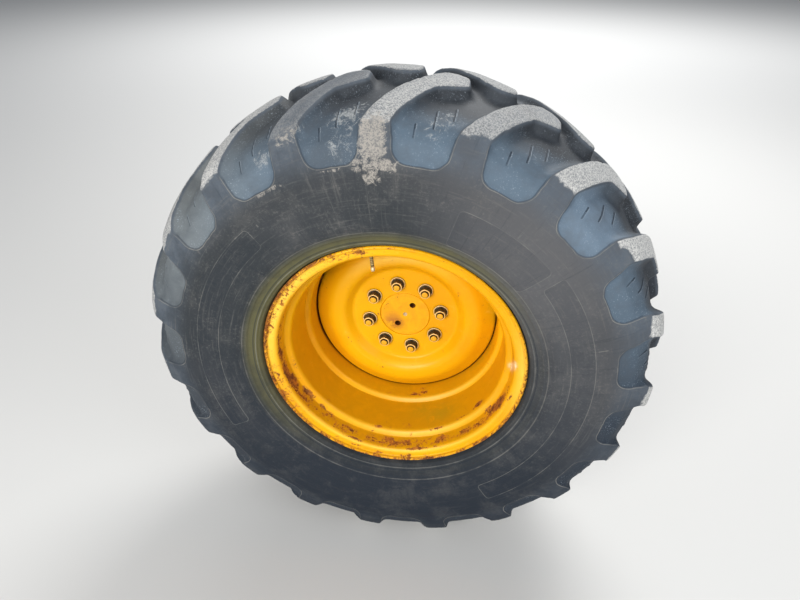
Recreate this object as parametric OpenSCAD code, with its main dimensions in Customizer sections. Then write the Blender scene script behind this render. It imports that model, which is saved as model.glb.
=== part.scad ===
// Rear wheel of a backhoe loader on its flanged axle shaft and axle arm.
// Origin: centre of the arm's inner flange face, on the wheel axis.
// +Y runs from the wheel to the middle of the machine, +X to its front, +Z up.
// Section outlines are lists of [radius, reach], reach being the distance from
// the arm's flange face out towards the wheel, so a reach of 500 lies at y = -500.

/* [Tyre] */
// Outside radius over the lugs
tyre_r = 660; // [650:1:680]
// Radius of the casing at the crown, between the lugs
casing_r = 632; // [615:1:640]
// Half of the tyre's width at its widest
tyre_half_w = 248; // [240:1:262]
// Thickness of the casing's sidewall
sidewall_t = 15; // [10:1:22]
// Thickness of the casing under the tread
tread_base_t = 24; // [14:1:34]
// Number of lugs on each side
lug_count = 19; // [15:1:21]
// Width of a lug at the shoulder, measured round the tyre
lug_w = 62; // [50:1:70]
// Angle at which a lug's flanks lean from the axle's direction
lug_lean = 34; // [26:1:38]
// Turn of the near side's lugs about the axis
lug_phase = -3.4; // [-10:0.1:10]

/* [Rim] */
// Radius of the bead seat at its heel
seat_r = 305; // [300:0.5:306]
// Width between the flanges' outer edges
rim_w = 424; // [400:2:440]
// Height of a flange above the bead seat
flange_h = 25; // [18:1:28]
// Thickness of the rim's sheet
rim_t = 8; // [5:0.5:10]
// Outside radius of the ledge between the outer bead seat and the well
ledge_r = 284; // [278:1:288]
// Outside radius of the rim's well
well_r = 261; // [255:1:270]

/* [Disc] */
// Thickness of the disc
disc_t = 12; // [8:0.5:16]
// Depth from the rim's outer edge down to the disc's flat middle
dish_depth = 233; // [215:1:245]
// Height of the disc's bulge above its flat middle
bulge_h = 27; // [16:1:32]
// Radius of the disc's flat middle
plateau_r = 150; // [142:1:156]
// Gap between the disc and the rim's well
disc_gap = 0.4; // [0.2:0.1:1]

/* [Fixings] */
// Number of wheel studs
stud_count = 8; // [5:1:8]
// Diameter of the circle of wheel studs
stud_circle = 203.2; // [196:0.1:210]
// Diameter of a wheel stud
stud_d = 18; // [14:0.5:20]
// Width of a wheel nut across its flats
nut_af = 28; // [26:1:32]
// Radius of the collar at a wheel nut's foot
nut_collar_r = 20.5; // [18:0.5:22]
// Height of a wheel nut above the disc
nut_h = 23; // [14:0.5:26]
// Length of stud that stands out of the nut
stud_tip = 5; // [3:0.5:14]
// Turn of the first stud about the axis
stud_phase = -11.8; // [-22:0.1:22]

/* [Axle] */
// Distance from the arm's flange face to the face that the wheel bolts to
hub_reach = 500; // [470:1:540]
// Radius of the shaft's flange
hub_flange_r = 128; // [122:1:134]
// Thickness of the shaft's flange
hub_flange_t = 26; // [20:1:34]
// Radius of the spigot that centres the disc
spigot_r = 69.5; // [60:0.5:78]
// Radius of the shaft's bearing journal
journal_r = 50; // [44:0.5:56]
// Radius of the shaft between its bearings
shaft_r = 33; // [28:0.5:36]
// Number of teeth on the shaft's spline
spline_teeth = 24; // [16:1:32]
// Length of spline that stands out of the arm
spline_out = 48; // [30:1:70]
// Radius of the arm's flange
arm_flange_r = 195; // [190:1:210]
// Thickness of the arm's flange
arm_flange_t = 26; // [20:1:34]
// Diameter of the circle of bolt holes in the arm's flange
arm_circle = 340; // [336:1:350]
// Number of bolt holes in the arm's flange
arm_holes = 12; // [8:1:14]
// Diameter of a bolt hole in the arm's flange
arm_hole_d = 17.5; // [13:0.5:20]
// Height of the frame pad's face above the axis
pad_z = 150; // [140:1:165]
// Size of the frame pad across the machine
pad_len = 190; // [170:1:200]
// Size of the frame pad along the machine
pad_w = 200; // [190:1:220]

/* [Valve] */
// Length of the valve stem outside the rim
stem_len = 50; // [30:1:56]
// Radius of the valve stem's tube
stem_r = 3.9; // [3.4:0.1:4.5]
// Angle at which the stem leans out from its foot
valve_lean = 30; // [0:1:40]
// Turn of the valve about the axis
valve_phase = -15; // [-20:0.1:20]

/* [Hidden] */

rubber = [0.17, 0.175, 0.18];
yellow = [0.93, 0.60, 0.08];
dark_steel = [0.24, 0.21, 0.19];
steel = [0.55, 0.54, 0.52];
brass = [0.70, 0.55, 0.28];

fit = 0.05;          // running fit of a journal in its bore, on the radius
seat_gap = 0.3;      // gap between curved faces that seat on each other
joint_gap = 6;       // gap between parts that turn past each other
bend_step = 15;      // largest turn of one facet round a bend
eps = 1;             // overshoot of a cut past the face that it leaves

// Where things lie along the axis, as reach from the arm's flange face
plateau_reach = hub_reach + disc_t;
rim_edge = plateau_reach + dish_depth;
middle = rim_edge - rim_w / 2;
hub_back = hub_reach - hub_flange_t;
arm_end = hub_back - 2 * joint_gap;

// A path is a list of [a, b, bend radius]; its corners are rounded by arcs
function flat(p) = [p[0], p[1]];
function unit(v) = v / norm(v);
function spun(v, t) = [v[0] * cos(t) - v[1] * sin(t), v[0] * sin(t) + v[1] * cos(t)];
function turn(a, b) = atan2(a[0] * b[1] - a[1] * b[0], a[0] * b[0] + a[1] * b[1]);
function bend(a, b, c) =
    let (
        before = unit(flat(b) - flat(a)),
        after = unit(flat(c) - flat(b)),
        angle = turn(before, after),
        run = b[2] * tan(abs(angle) / 2),
        out = sign(angle) * [before[1], -before[0]],
        centre = flat(b) - run * before - b[2] * out,
        steps = max(1, ceil(abs(angle) / bend_step))
    )
    b[2] == 0 || angle == 0
        ? [flat(b)]
        : [for (i = [0 : steps]) centre + b[2] * spun(out, angle * i / steps)];
function bent(path) = [
    flat(path[0]),
    for (i = [1 : len(path) - 2]) each bend(path[i - 1], path[i], path[i + 1]),
    flat(path[len(path) - 1])];

// Line that runs beside a list of points, at a distance to its right
function beside(p, d) = [
    for (i = [0 : len(p) - 1])
        let (
            last = len(p) - 1,
            before = unit(i == 0 ? p[1] - p[0] : p[i] - p[i - 1]),
            after = unit(i == last ? p[last] - p[last - 1] : p[i + 1] - p[i]),
            mid = unit(before + after)
        )
        p[i] + d / (mid * before) * [mid[1], -mid[0]]];
function reversed(p) = [for (i = [len(p) - 1 : -1 : 0]) p[i]];
// Closed outline of a sheet of thickness t whose middle follows a path
function sheet(path, t) =
    let (p = bent(path)) concat(beside(p, t / 2), reversed(beside(p, -t / 2)));
// Path carried over to the other side of a = 0
function mirrored(path) = [for (p = reversed(path)) [-p[0], p[1], p[2]]];
function from_middle(p) = [for (q = p) [q[1], middle + q[0]]];

// Turns an outline of [radius, reach] about the wheel axis
module about_axis(outline, facets = 96) {
    rotate([90, 0, 0])
        rotate_extrude($fn = facets)
            polygon(outline);
}
// Straight cylinder on the wheel axis between two reaches
module on_axis(r, low, high, facets = 96) {
    rotate([90, 0, 0])
        translate([0, 0, low])
            cylinder(r = r, h = high - low, $fn = facets);
}
// Places its children at an angle about the axis, clockwise as seen from outside the wheel
module clocked(angle) {
    rotate([0, angle, 0])
        children();
}

// Casing: [distance from the tyre's middle plane, radius, bend radius]
bead_w = 36;         // width of a bead on its seat
bead_heel = rim_w / 2 - 18.6;
bead_toe = bead_heel - bead_w;
crown_w = tyre_half_w / 2;
shoulder_w = tyre_half_w - 34;
// Radius at a part of the way from the bead seat up to the crown
function up_side(part) = seat_r + part * (casing_r - seat_r);
casing_side = [
    [bead_toe, seat_r - 3.6, 0],
    [bead_heel, seat_r + seat_gap, 3],
    [bead_heel, seat_r + flange_h - 6, 6],
    [bead_heel + 8, seat_r + flange_h + 5, 8],
    [rim_w / 2 + 6, seat_r + flange_h + 7, 10],
    [tyre_half_w - 7, up_side(0.26), 60],
    [tyre_half_w + 3, up_side(0.46), 130],
    [tyre_half_w - 9, up_side(0.71), 90],
    [shoulder_w - 20, casing_r - 26, 50],
    [crown_w, casing_r - 8, 90]];
casing = concat(casing_side, [[0, casing_r, 400]], mirrored(casing_side));
cavity_w = tyre_half_w - sidewall_t;
cavity_r = casing_r - tread_base_t;
cavity_side = [
    [bead_toe, seat_r - 3.6, 0],
    [bead_toe + 2, up_side(0.10), 30],
    [cavity_w - 8, up_side(0.28), 60],
    [cavity_w + 2, up_side(0.46), 110],
    [cavity_w - 14, up_side(0.69), 80],
    [cavity_w - 70, cavity_r - 14, 60]];
cavity = concat(cavity_side, [[0, cavity_r, 400]], mirrored(cavity_side));

// Tips of the lugs, from the middle plane out over the shoulder
lug_root = 8;        // depth to which a lug is sunk in the casing
tip_flat = 26;       // half of the level width at the crown
tips_side = [
    [tyre_half_w - lug_root, up_side(0.56), 0],
    [tyre_half_w + 0.5, up_side(0.59), 0],
    [tyre_half_w - 8, tyre_r - 108, 40],
    [shoulder_w, tyre_r - 52, 12],
    [shoulder_w - 24, tyre_r - 35, 0],
    [crown_w, tyre_r - 12, 0],
    [tip_flat, tyre_r, 0]];
tips = concat(tips_side, mirrored(tips_side));
roots_side = [
    [tyre_half_w - lug_root, up_side(0.56), 0],
    [tyre_half_w - 9 - lug_root, up_side(0.70), 60],
    [shoulder_w - 26, casing_r - 30 - lug_root, 40],
    [crown_w, casing_r - 8 - lug_root, 0]];
roots = concat(roots_side, [[0, casing_r - lug_root, 0]], mirrored(roots_side));

// Outline of a lug seen from above: [run round the tyre, distance from the middle plane, bend].
// Its flanks lean from the shoulder to a wider head, which passes the middle plane.
head_run = 175;      // run from the lug's middle at the shoulder to its head's end
head_w = 62;         // distance of the head's outer corner from the middle plane
head_neck = 31;      // width that the head gains over the flank
head_past = 9;       // how far the head passes the middle plane
head_nose = 50;      // length of the head's edge past the middle plane
function lean_run(w) = (shoulder_w - w) * tan(lug_lean);
lug_line = [
    [-lug_w / 2 - 4, tyre_half_w + 8, 0],
    [-lug_w / 2, shoulder_w, 40],
    [lean_run(head_w) - lug_w / 2, head_w, 150],
    [head_run - head_nose, -head_past, 30],
    [head_run - 3, -head_past, 30],
    [head_run, head_w, 10],
    [lug_w / 2 + lean_run(head_w + head_neck), head_w + head_neck, 16],
    [lug_w / 2, shoulder_w, 40],
    [lug_w / 2 + 4, tyre_half_w + 8, 0]];
lug_upright = 30;    // run at which a lug's flanks are upright
lug_pitch = 360 / lug_count;

module lug_blank() {
    plan = [for (p = bent(lug_line)) [p[0] - lug_upright, -p[1]]];
    clocked(lug_upright / tyre_r * 180 / PI)
        translate([0, 0, up_side(0.5)])
            linear_extrude(height = tyre_r)
                polygon(plan);
}

module lugs() {
    intersection() {
        about_axis(from_middle(concat(bent(tips), reversed(bent(roots)))));
        for (i = [0 : lug_count - 1]) {
            clocked(lug_phase + i * lug_pitch)
                translate([0, -middle, 0])
                    lug_blank();
            clocked(lug_phase + (i + 0.5) * lug_pitch)
                translate([0, -middle, 0])
                    mirror([0, 1, 0])
                        lug_blank();
        }
    }
}

module tyre() {
    color(rubber)
        union() {
            about_axis(from_middle(concat(bent(casing), reversed(bent(cavity)))));
            lugs();
        }
}

// Rim's middle line: [distance from the middle plane, radius, bend radius].
// From the outer seat the sheet steps down to a ledge and again to the well, and a
// plain slope leads up to the inner seat.
seat_mid = seat_r - rim_t / 2;
ledge_mid = ledge_r - rim_t / 2;
well_mid = well_r - rim_t / 2;
flange_side = [
    [rim_w / 2 - 1, seat_mid + flange_h - 1, 0],
    [rim_w / 2 - 14, seat_mid + flange_h + 1, 9],
    [rim_w / 2 - 14, seat_mid, 8]];
ledge_top = [rim_w / 2 - 66, ledge_mid, 9];
ledge_foot = [rim_w / 2 - 176, ledge_mid - 5, 8];
well_back = 130 - rim_w / 2;
rim_line = concat(
    flange_side,
    [
        [ledge_top[0] + 9, seat_mid - 4.2, 9],
        ledge_top,
        ledge_foot,
        [ledge_foot[0] - 9, well_mid + 5, 8],
        [ledge_foot[0] - 44, well_mid, 60],
        [well_back, well_mid, 24]],
    mirrored(concat(flange_side, [
        [rim_w / 2 - 60, seat_mid - 4.5, 10],
        [rim_w / 2 - 68, seat_mid - 8, 20]])));
// The valve stands square on the ledge, at a part of its width from the seat's side
valve_part = 0.37;
valve_at = ledge_top + valve_part * (ledge_foot - ledge_top);
valve_tilt = atan2(ledge_top[1] - ledge_foot[1], ledge_top[0] - ledge_foot[0]);

module valve_place() {
    clocked(valve_phase)
        translate([0, -middle - valve_at[0], valve_at[1]])
            rotate([-valve_tilt, 0, 0])
                mirror([0, 0, 1])
                    children();
}

module rim() {
    color(yellow)
        difference() {
            about_axis(from_middle(sheet(rim_line, rim_t)));
            valve_place()
                translate([0, 0, -30])
                    cylinder(r = valve_hole_r, h = 60, $fn = 32);
        }
}

// Disc's middle line: [radius, reach, bend radius]
disc_r = well_r - rim_t - disc_gap;
spigot_gap = 0.5;    // gap round the spigot in the disc, on the radius
lip_depth = 26;      // reach of the disc's turned edge below its mounting face
disc_line = [
    [spigot_r + spigot_gap, hub_reach + disc_t / 2, 0],
    [plateau_r, hub_reach + disc_t / 2, 20],
    [plateau_r + 23, hub_reach + disc_t / 2 + bulge_h, 22],
    [plateau_r + 54, hub_reach + disc_t / 2 + bulge_h, 40],
    [disc_r - disc_t / 2, hub_reach + disc_t / 2, 12],
    [disc_r - disc_t / 2, hub_reach - lip_depth, 0]];
stud_hole_gap = 1;   // gap round a stud in the disc, on the radius
cone_depth = 6;      // depth of a nut's cone in the disc
cone_r = nut_af / 2 - 1;
spot_r = nut_collar_r + 2;
spot_depth = 1;      // depth of the spot face round a nut
collar_h = 4;        // height of a nut's collar
chamfer = 1.5;       // chamfer of a stud's end and of a nut's collar

module at_studs() {
    for (i = [0 : stud_count - 1])
        clocked(stud_phase + i * 360 / stud_count)
            translate([0, 0, stud_circle / 2])
                rotate([90, 0, 0])
                    children();
}

module disc() {
    face = plateau_reach - spot_depth;
    color(yellow)
        difference() {
            about_axis(sheet(disc_line, disc_t));
            at_studs() {
                translate([0, 0, hub_reach - eps])
                    cylinder(r = stud_d / 2 + stud_hole_gap, h = disc_t + 2 * eps, $fn = 32);
                translate([0, 0, face])
                    cylinder(r = spot_r, h = spot_depth + eps, $fn = 48);
                translate([0, 0, face - cone_depth])
                    cylinder(r1 = stud_d / 2 + stud_hole_gap, r2 = cone_r, h = cone_depth, $fn = 32);
            }
        }
}

module disc_welds() {
    leg = 9;
    low = hub_reach - lip_depth;
    color(yellow)
        about_axis([
            [disc_r - leg, low],
            [disc_r, low],
            [disc_r, low - leg]]);
}

// Valve: a rubber-seated foot in the rim, a leaning tube and a threaded tip
valve_hole_r = 8;
foot_r = valve_hole_r + 4;
foot_h = 5;
cap_len = 12;
// Frame of the stem's tube, which starts at the foot's top
module stem_place() {
    valve_place()
        translate([0, 0, rim_t / 2 + foot_h])
            rotate([valve_lean, 0, 0])
                children();
}

module valve_stem() {
    color(brass)
        union() {
            valve_place() {
                translate([0, 0, -rim_t])
                    cylinder(r = valve_hole_r - seat_gap, h = 2 * rim_t, $fn = 32);
                translate([0, 0, rim_t / 2 + seat_gap])
                    cylinder(r1 = foot_r, r2 = stem_r + 2, h = foot_h, $fn = 32);
            }
            stem_place()
                translate([0, 0, -foot_h / 2])
                    cylinder(r = stem_r, h = stem_len - cap_len + foot_h / 2, $fn = 32);
        }
}

module valve_cap() {
    color(brass)
        stem_place()
            translate([0, 0, stem_len - cap_len])
                union() {
                    cylinder(r = stem_r + 1, h = cap_len - 3, $fn = 32);
                    translate([0, 0, cap_len - 3])
                        cylinder(r1 = stem_r + 1, r2 = stem_r - 0.5, h = 3, $fn = 32);
                }
}

stud_head_r = stud_d / 2 + 4;
stud_head_t = 5;
module wheel_studs() {
    top = plateau_reach - spot_depth + nut_h + stud_tip;
    color(dark_steel)
        at_studs() {
            translate([0, 0, hub_back - stud_head_t])
                cylinder(r = stud_head_r, h = stud_head_t, $fn = 32);
            translate([0, 0, hub_back - eps])
                cylinder(r = stud_d / 2, h = top - hub_back + eps - chamfer, $fn = 32);
            translate([0, 0, top - chamfer])
                cylinder(r1 = stud_d / 2, r2 = stud_d / 2 - chamfer, h = chamfer, $fn = 32);
        }
}

module wheel_nuts() {
    face = plateau_reach - spot_depth;
    corner_r = nut_af / 2 / cos(30);
    color(dark_steel)
        at_studs()
            difference() {
                union() {
                    translate([0, 0, face])
                        intersection() {
                            cylinder(r = corner_r, h = nut_h, $fn = 6);
                            cylinder(r1 = corner_r + nut_h, r2 = nut_af / 2 - 1, h = nut_h, $fn = 48);
                        }
                    translate([0, 0, face])
                        cylinder(r = nut_collar_r, h = collar_h - chamfer, $fn = 48);
                    translate([0, 0, face + collar_h - chamfer])
                        cylinder(r1 = nut_collar_r, r2 = nut_collar_r - chamfer, h = chamfer, $fn = 48);
                    translate([0, 0, face - cone_depth + seat_gap])
                        cylinder(r1 = stud_d / 2 + stud_hole_gap, r2 = cone_r, h = cone_depth, $fn = 32);
                }
                translate([0, 0, face - cone_depth - eps])
                    cylinder(r = stud_d / 2 + fit, h = cone_depth + nut_h + 2 * eps, $fn = 32);
            }
}

// Shaft: [radius, reach] steps from the spigot down to the splined end
spigot_h = disc_t - 1.5;
outer_land = 50;     // length of the arm's bore round the journal
inner_journal_r = shaft_r + 3;
cup_reach = 64;      // deepest reach of the inner bearing
cup_t = 24;          // length of the inner bearing
shoulder_gap = 1;    // distance of the shaft's shoulder from the bearing's deepest reach
nut_t = 16;          // length of the shaft's lock nut
spline_r = shaft_r - 3;
spline_depth = 3.5;
puller_r = 37.5;     // radius at which the two tapped holes stand
puller_phase = 32.8;
puller_hole_r = 8.5;

module spline() {
    tooth = 360 / spline_teeth;
    rotate([90, 0, 0])
        translate([0, 0, -spline_out])
            linear_extrude(height = spline_out + cup_reach - cup_t - nut_t - 4)
                polygon([
                    for (i = [0 : spline_teeth - 1])
                        each [
                            for (k = [[-0.36, 0], [-0.17, 1], [0.17, 1], [0.36, 0]])
                                (spline_r - spline_depth * (1 - k[1]))
                                    * [cos((i + k[0]) * tooth), sin((i + k[0]) * tooth)]]]);
}

module axle_shaft() {
    color(steel)
        difference() {
            union() {
                about_axis([
                    [0, hub_reach + spigot_h],
                    [spigot_r - 2, hub_reach + spigot_h],
                    [spigot_r, hub_reach + spigot_h - 2],
                    [spigot_r, hub_reach],
                    [hub_flange_r - 3, hub_reach],
                    [hub_flange_r, hub_reach - 3],
                    [hub_flange_r, hub_back + 3],
                    [hub_flange_r - 3, hub_back],
                    [journal_r + 4, hub_back],
                    [journal_r, hub_back - 4],
                    [journal_r, arm_end - outer_land - 12],
                    [shaft_r, arm_end - outer_land - 42],
                    [shaft_r, cup_reach + 20],
                    [inner_journal_r + 4, cup_reach + 16],
                    [inner_journal_r + 4, cup_reach - shoulder_gap],
                    [inner_journal_r, cup_reach - shoulder_gap],
                    [inner_journal_r, cup_reach - cup_t - nut_t],
                    [spline_r - spline_depth, cup_reach - cup_t - nut_t - 3],
                    [spline_r - spline_depth, 0],
                    [0, 0]]);
                spline();
            }
            at_studs()
                translate([0, 0, hub_back - eps])
                    cylinder(r = stud_d / 2 + fit, h = hub_flange_t + 2 * eps, $fn = 32);
            for (side = [0, 180])
                clocked(puller_phase + side)
                    translate([0, 0, puller_r])
                        rotate([90, 0, 0])
                            translate([0, 0, hub_reach + spigot_h - 30])
                                cylinder(r = puller_hole_r, h = 30 + eps, $fn = 32);
            rotate([90, 0, 0])
                translate([0, 0, hub_reach + spigot_h - 6])
                    cylinder(r1 = 1, r2 = 7, h = 6, $fn = 32);
        }
}

module shaft_nut() {
    nut_r = inner_journal_r + 14;
    low = cup_reach - cup_t - nut_t + 2;
    color(dark_steel)
        difference() {
            on_axis(nut_r, low, low + nut_t - 2);
            on_axis(inner_journal_r + fit, low - eps, low + nut_t + eps);
            for (i = [0 : 3])
                clocked(i * 90)
                    translate([-5, -low - nut_t, nut_r - 5])
                        cube([10, nut_t + 2 * eps, 12]);
        }
}

// Inner bearing: a ring of tapered rollers on the shaft that runs in a cup in the arm
roller_count = 22;
roller_r = 5;        // radius of a roller at its middle
roller_taper = 1.5;  // angle of a roller's side to its axis
roller_lean = 10;    // angle of a roller's axis to the shaft
ring_t = 7;          // thickness of the inner ring under a roller's middle
ring_lip = 3;        // length and height of the inner ring's lips
cup_wall = 9;        // thickness of the cup at its thin end
path_r = inner_journal_r + ring_t + roller_r;
// Radius of the inner and of the outer race at a reach x from the bearing's middle
function inner_race(x) = path_r - x * tan(roller_lean - roller_taper) - roller_r / cos(roller_lean);
function outer_race(x) =
    path_r - x * tan(roller_lean + roller_taper) + roller_r / cos(roller_lean) + seat_gap;
cup_r = outer_race(-cup_t / 2) + cup_wall;
cup_back_r = outer_race(cup_t / 2) + 2;

module bearing_cone() {
    low = cup_reach - cup_t;
    high = cup_reach - shoulder_gap;
    race = cup_t / 2 - ring_lip;
    sunk = 0.8;      // depth to which the rollers are sunk in the ring
    roller_half = race - roller_r * sin(roller_lean) - seat_gap;
    color(steel)
        union() {
            about_axis([
                [inner_journal_r + fit, low],
                [inner_race(-race) + ring_lip, low],
                [inner_race(-race) + ring_lip, low + ring_lip],
                [inner_race(-race) + sunk, low + ring_lip],
                [inner_race(race) + sunk, cup_reach - ring_lip],
                [inner_race(race) + ring_lip, cup_reach - ring_lip],
                [inner_race(race) + ring_lip, high],
                [inner_journal_r + fit, high]]);
            for (i = [0 : roller_count - 1])
                clocked(i * 360 / roller_count)
                    translate([0, -cup_reach + cup_t / 2, path_r])
                        rotate([90 + roller_lean, 0, 0])
                            cylinder(
                                r1 = roller_r + roller_half * tan(roller_taper),
                                r2 = roller_r - roller_half * tan(roller_taper),
                                h = 2 * roller_half,
                                center = true,
                                $fn = 24);
        }
}

module bearing_cup() {
    color(steel)
        about_axis([
            [outer_race(-cup_t / 2), cup_reach - cup_t],
            [cup_r - fit, cup_reach - cup_t],
            [cup_r - fit, cup_reach],
            [outer_race(cup_t / 2), cup_reach]]);
}

module hub_seal() {
    color(dark_steel)
        about_axis([
            [journal_r + 1, arm_end],
            [seal_r, arm_end],
            [seal_r, arm_end + joint_gap - 2],
            [seal_r - 2, arm_end + joint_gap],
            [journal_r + 1, arm_end + joint_gap]]);
}

// Arm: trumpet casting, open towards the wheel at its bearing end and towards the
// machine at its flange
seal_r = journal_r + 24;
arm_end_r = journal_r + 32;
recess_r = 98;       // radius of the recess inside the flange
trumpet = [
    [arm_end_r - 4, arm_end, 0],
    [arm_end_r, arm_end - 4, 0],
    [arm_end_r, arm_end - 62, 6],
    [arm_end_r - 14, arm_end - 100, 60],
    [arm_end_r + 4, 190, 160],
    [recess_r + 26, 70, 60],
    [recess_r + 26, 0, 0]];

module arm_body() {
    about_axis(concat(
        [[0, arm_end]],
        bent(trumpet),
        [[0, 0]]));
    about_axis([
        [0, arm_flange_t],
        [arm_flange_r - 2, arm_flange_t],
        [arm_flange_r, arm_flange_t - 2],
        [arm_flange_r, 0],
        [0, 0]]);
}

rib_t = 14;          // thickness of a rib behind the flange
rib_count = 6;
module ribs() {
    for (i = [0 : rib_count - 1])
        clocked(i * 360 / rib_count)
            translate([-rib_t / 2, 0, 0])
                rotate([0, 0, 90])
                    rotate([90, 0, 0])
                        linear_extrude(height = rib_t)
                            polygon([
                                [-arm_flange_t + 1, recess_r],
                                [-arm_flange_t + 1, arm_flange_r - 8],
                                [-arm_flange_t - 12, arm_flange_r - 12],
                                [-arm_flange_t - 120, recess_r + 4],
                                [-arm_flange_t - 120, recess_r - 30]]);
}

// Frame pad on top of the arm
pad_gap = 30;        // reach of the pad's near edge from the flange's back
pad_t = 24;
pad_low = arm_flange_t + pad_gap;
pad_hole_d = 26;
pad_hole_x = pad_w / 2 - 26;
pad_hole_y = pad_len / 2 - 30;
pad_rib_y = pad_len / 2 - rib_t / 2;
web_w = 2 * (pad_hole_x - 24);
module frame_pad() {
    translate([0, -pad_low - pad_len / 2, 0]) {
        translate([-pad_w / 2, -pad_len / 2, pad_z - pad_t])
            cube([pad_w, pad_len, pad_t]);
        translate([-web_w / 2, -pad_len / 2, 0])
            cube([web_w, pad_len, pad_z - pad_t / 2]);
        for (side = [-1, 1])
            translate([-pad_w / 2 + 6, side * pad_rib_y - rib_t / 2, 40])
                cube([pad_w - 12, rib_t, pad_z - 41]);
    }
}

module pad_holes() {
    for (x = [-1, 1], y = [-1, 1])
        translate([x * pad_hole_x, -pad_low - pad_len / 2 + y * pad_hole_y, pad_z - pad_t - eps])
            cylinder(d = pad_hole_d, h = pad_t + 2 * eps, $fn = 32);
}

arm_bore_r = journal_r + 12;
module axle_arm() {
    color(yellow)
        difference() {
            union() {
                arm_body();
                ribs();
                frame_pad();
            }
            on_axis(journal_r + fit, arm_end - outer_land - eps, arm_end + eps);
            on_axis(arm_bore_r, cup_reach + 16, arm_end - outer_land);
            on_axis(cup_back_r, cup_reach - eps, cup_reach + 16 + eps);
            on_axis(cup_r, cup_reach - cup_t - eps, cup_reach);
            on_axis(recess_r, -eps, cup_reach - cup_t);
            for (i = [0 : arm_holes - 1])
                clocked((i + 0.5) * 360 / arm_holes)
                    translate([0, eps, arm_circle / 2])
                        rotate([90, 0, 0])
                            cylinder(d = arm_hole_d, h = arm_flange_t + 2 * eps, $fn = 32);
            pad_holes();
        }
}

tyre();
rim();
disc();
disc_welds();
valve_stem();
valve_cap();
wheel_studs();
wheel_nuts();
axle_shaft();
shaft_nut();
bearing_cone();
bearing_cup();
hub_seal();
axle_arm();
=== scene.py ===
import math
import bmesh
import bpy
import numpy as np
from mathutils import Matrix, Vector


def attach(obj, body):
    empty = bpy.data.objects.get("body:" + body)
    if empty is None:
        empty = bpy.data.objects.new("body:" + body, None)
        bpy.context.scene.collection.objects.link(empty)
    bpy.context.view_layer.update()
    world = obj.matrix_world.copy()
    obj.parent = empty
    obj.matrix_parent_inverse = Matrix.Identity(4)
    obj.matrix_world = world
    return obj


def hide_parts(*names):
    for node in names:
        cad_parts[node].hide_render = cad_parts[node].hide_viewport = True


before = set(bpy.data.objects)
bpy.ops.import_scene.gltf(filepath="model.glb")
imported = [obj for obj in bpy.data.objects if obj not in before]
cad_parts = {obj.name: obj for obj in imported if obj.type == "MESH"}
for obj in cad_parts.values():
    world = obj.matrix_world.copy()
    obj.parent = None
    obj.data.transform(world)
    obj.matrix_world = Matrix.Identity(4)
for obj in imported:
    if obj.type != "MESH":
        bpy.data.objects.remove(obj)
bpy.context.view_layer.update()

# Rear wheel of a backhoe loader on its axle arm. Sizes in metres unless a note says mm.
# The wheel axis is Y. "reach" is the distance from the arm's flange face out towards the
# wheel, so y = -reach, and "turn" is an angle from the top, clockwise seen from outside.

mm = 0.001
circle = 2 * math.pi
print("frame loaded:", len(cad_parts), "nodes")

# Camera and studio

cameraView = {
    "place": (0.1794, -1.9009, 0.9323),
    "yaw": -7.95,          # degrees, to the left
    "pitch": 32.26,        # degrees below the horizon
    "roll": 0.58,
    "lens": 27.06,
    "sensor": 36.0,
}


def makeCamera():
    yaw, pitch, roll = (math.radians(cameraView[k]) for k in ("yaw", "pitch", "roll"))
    ahead = Vector((math.sin(yaw) * math.cos(pitch), math.cos(yaw) * math.cos(pitch), -math.sin(pitch)))
    right = Vector((math.cos(yaw), -math.sin(yaw), 0))
    up = right.cross(ahead)
    tiltedRight = right * math.cos(roll) + up * math.sin(roll)
    tiltedUp = up * math.cos(roll) - right * math.sin(roll)
    data = bpy.data.cameras.new("camera")
    data.sensor_width = cameraView["sensor"]
    data.lens = cameraView["lens"]
    camera = bpy.data.objects.new("camera", data)
    turned = Matrix((tiltedRight, tiltedUp, -ahead)).transposed().to_4x4()
    turned.translation = cameraView["place"]
    camera.matrix_world = turned
    bpy.context.scene.collection.objects.link(camera)
    bpy.context.scene.camera = camera


studio = {
    "floorZ": -0.6605,
    "floorHalf": 26.0,
    "floorColour": (0.60, 0.60, 0.59, 1.0),
    "floorRoughness": 0.85,
    "skyColour": (0.84, 0.90, 1.0, 1.0),
    "skyStrength": 0.22,
    # each lamp: place, aim, width, height, watts, colour
    "lamps": [
        ((-1.4, -4.7, 1.9), (0, -0.6, 0.0), 2.8, 2.2, 245, (1.0, 0.98, 0.95)),
        ((3.6, -2.9, 2.0), (0, -0.6, 0.0), 2.4, 2.4, 74, (0.96, 0.98, 1.0)),
        ((1.2, 2.8, 3.6), (0, -0.3, 0.2), 2.5, 2.5, 200, (1.0, 0.99, 0.97)),
        ((0.0, 8.0, 5.5), (0, 9.5, -0.6), 9.0, 5.0, 900, (1.0, 1.0, 1.0)),
    ],
}


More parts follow.
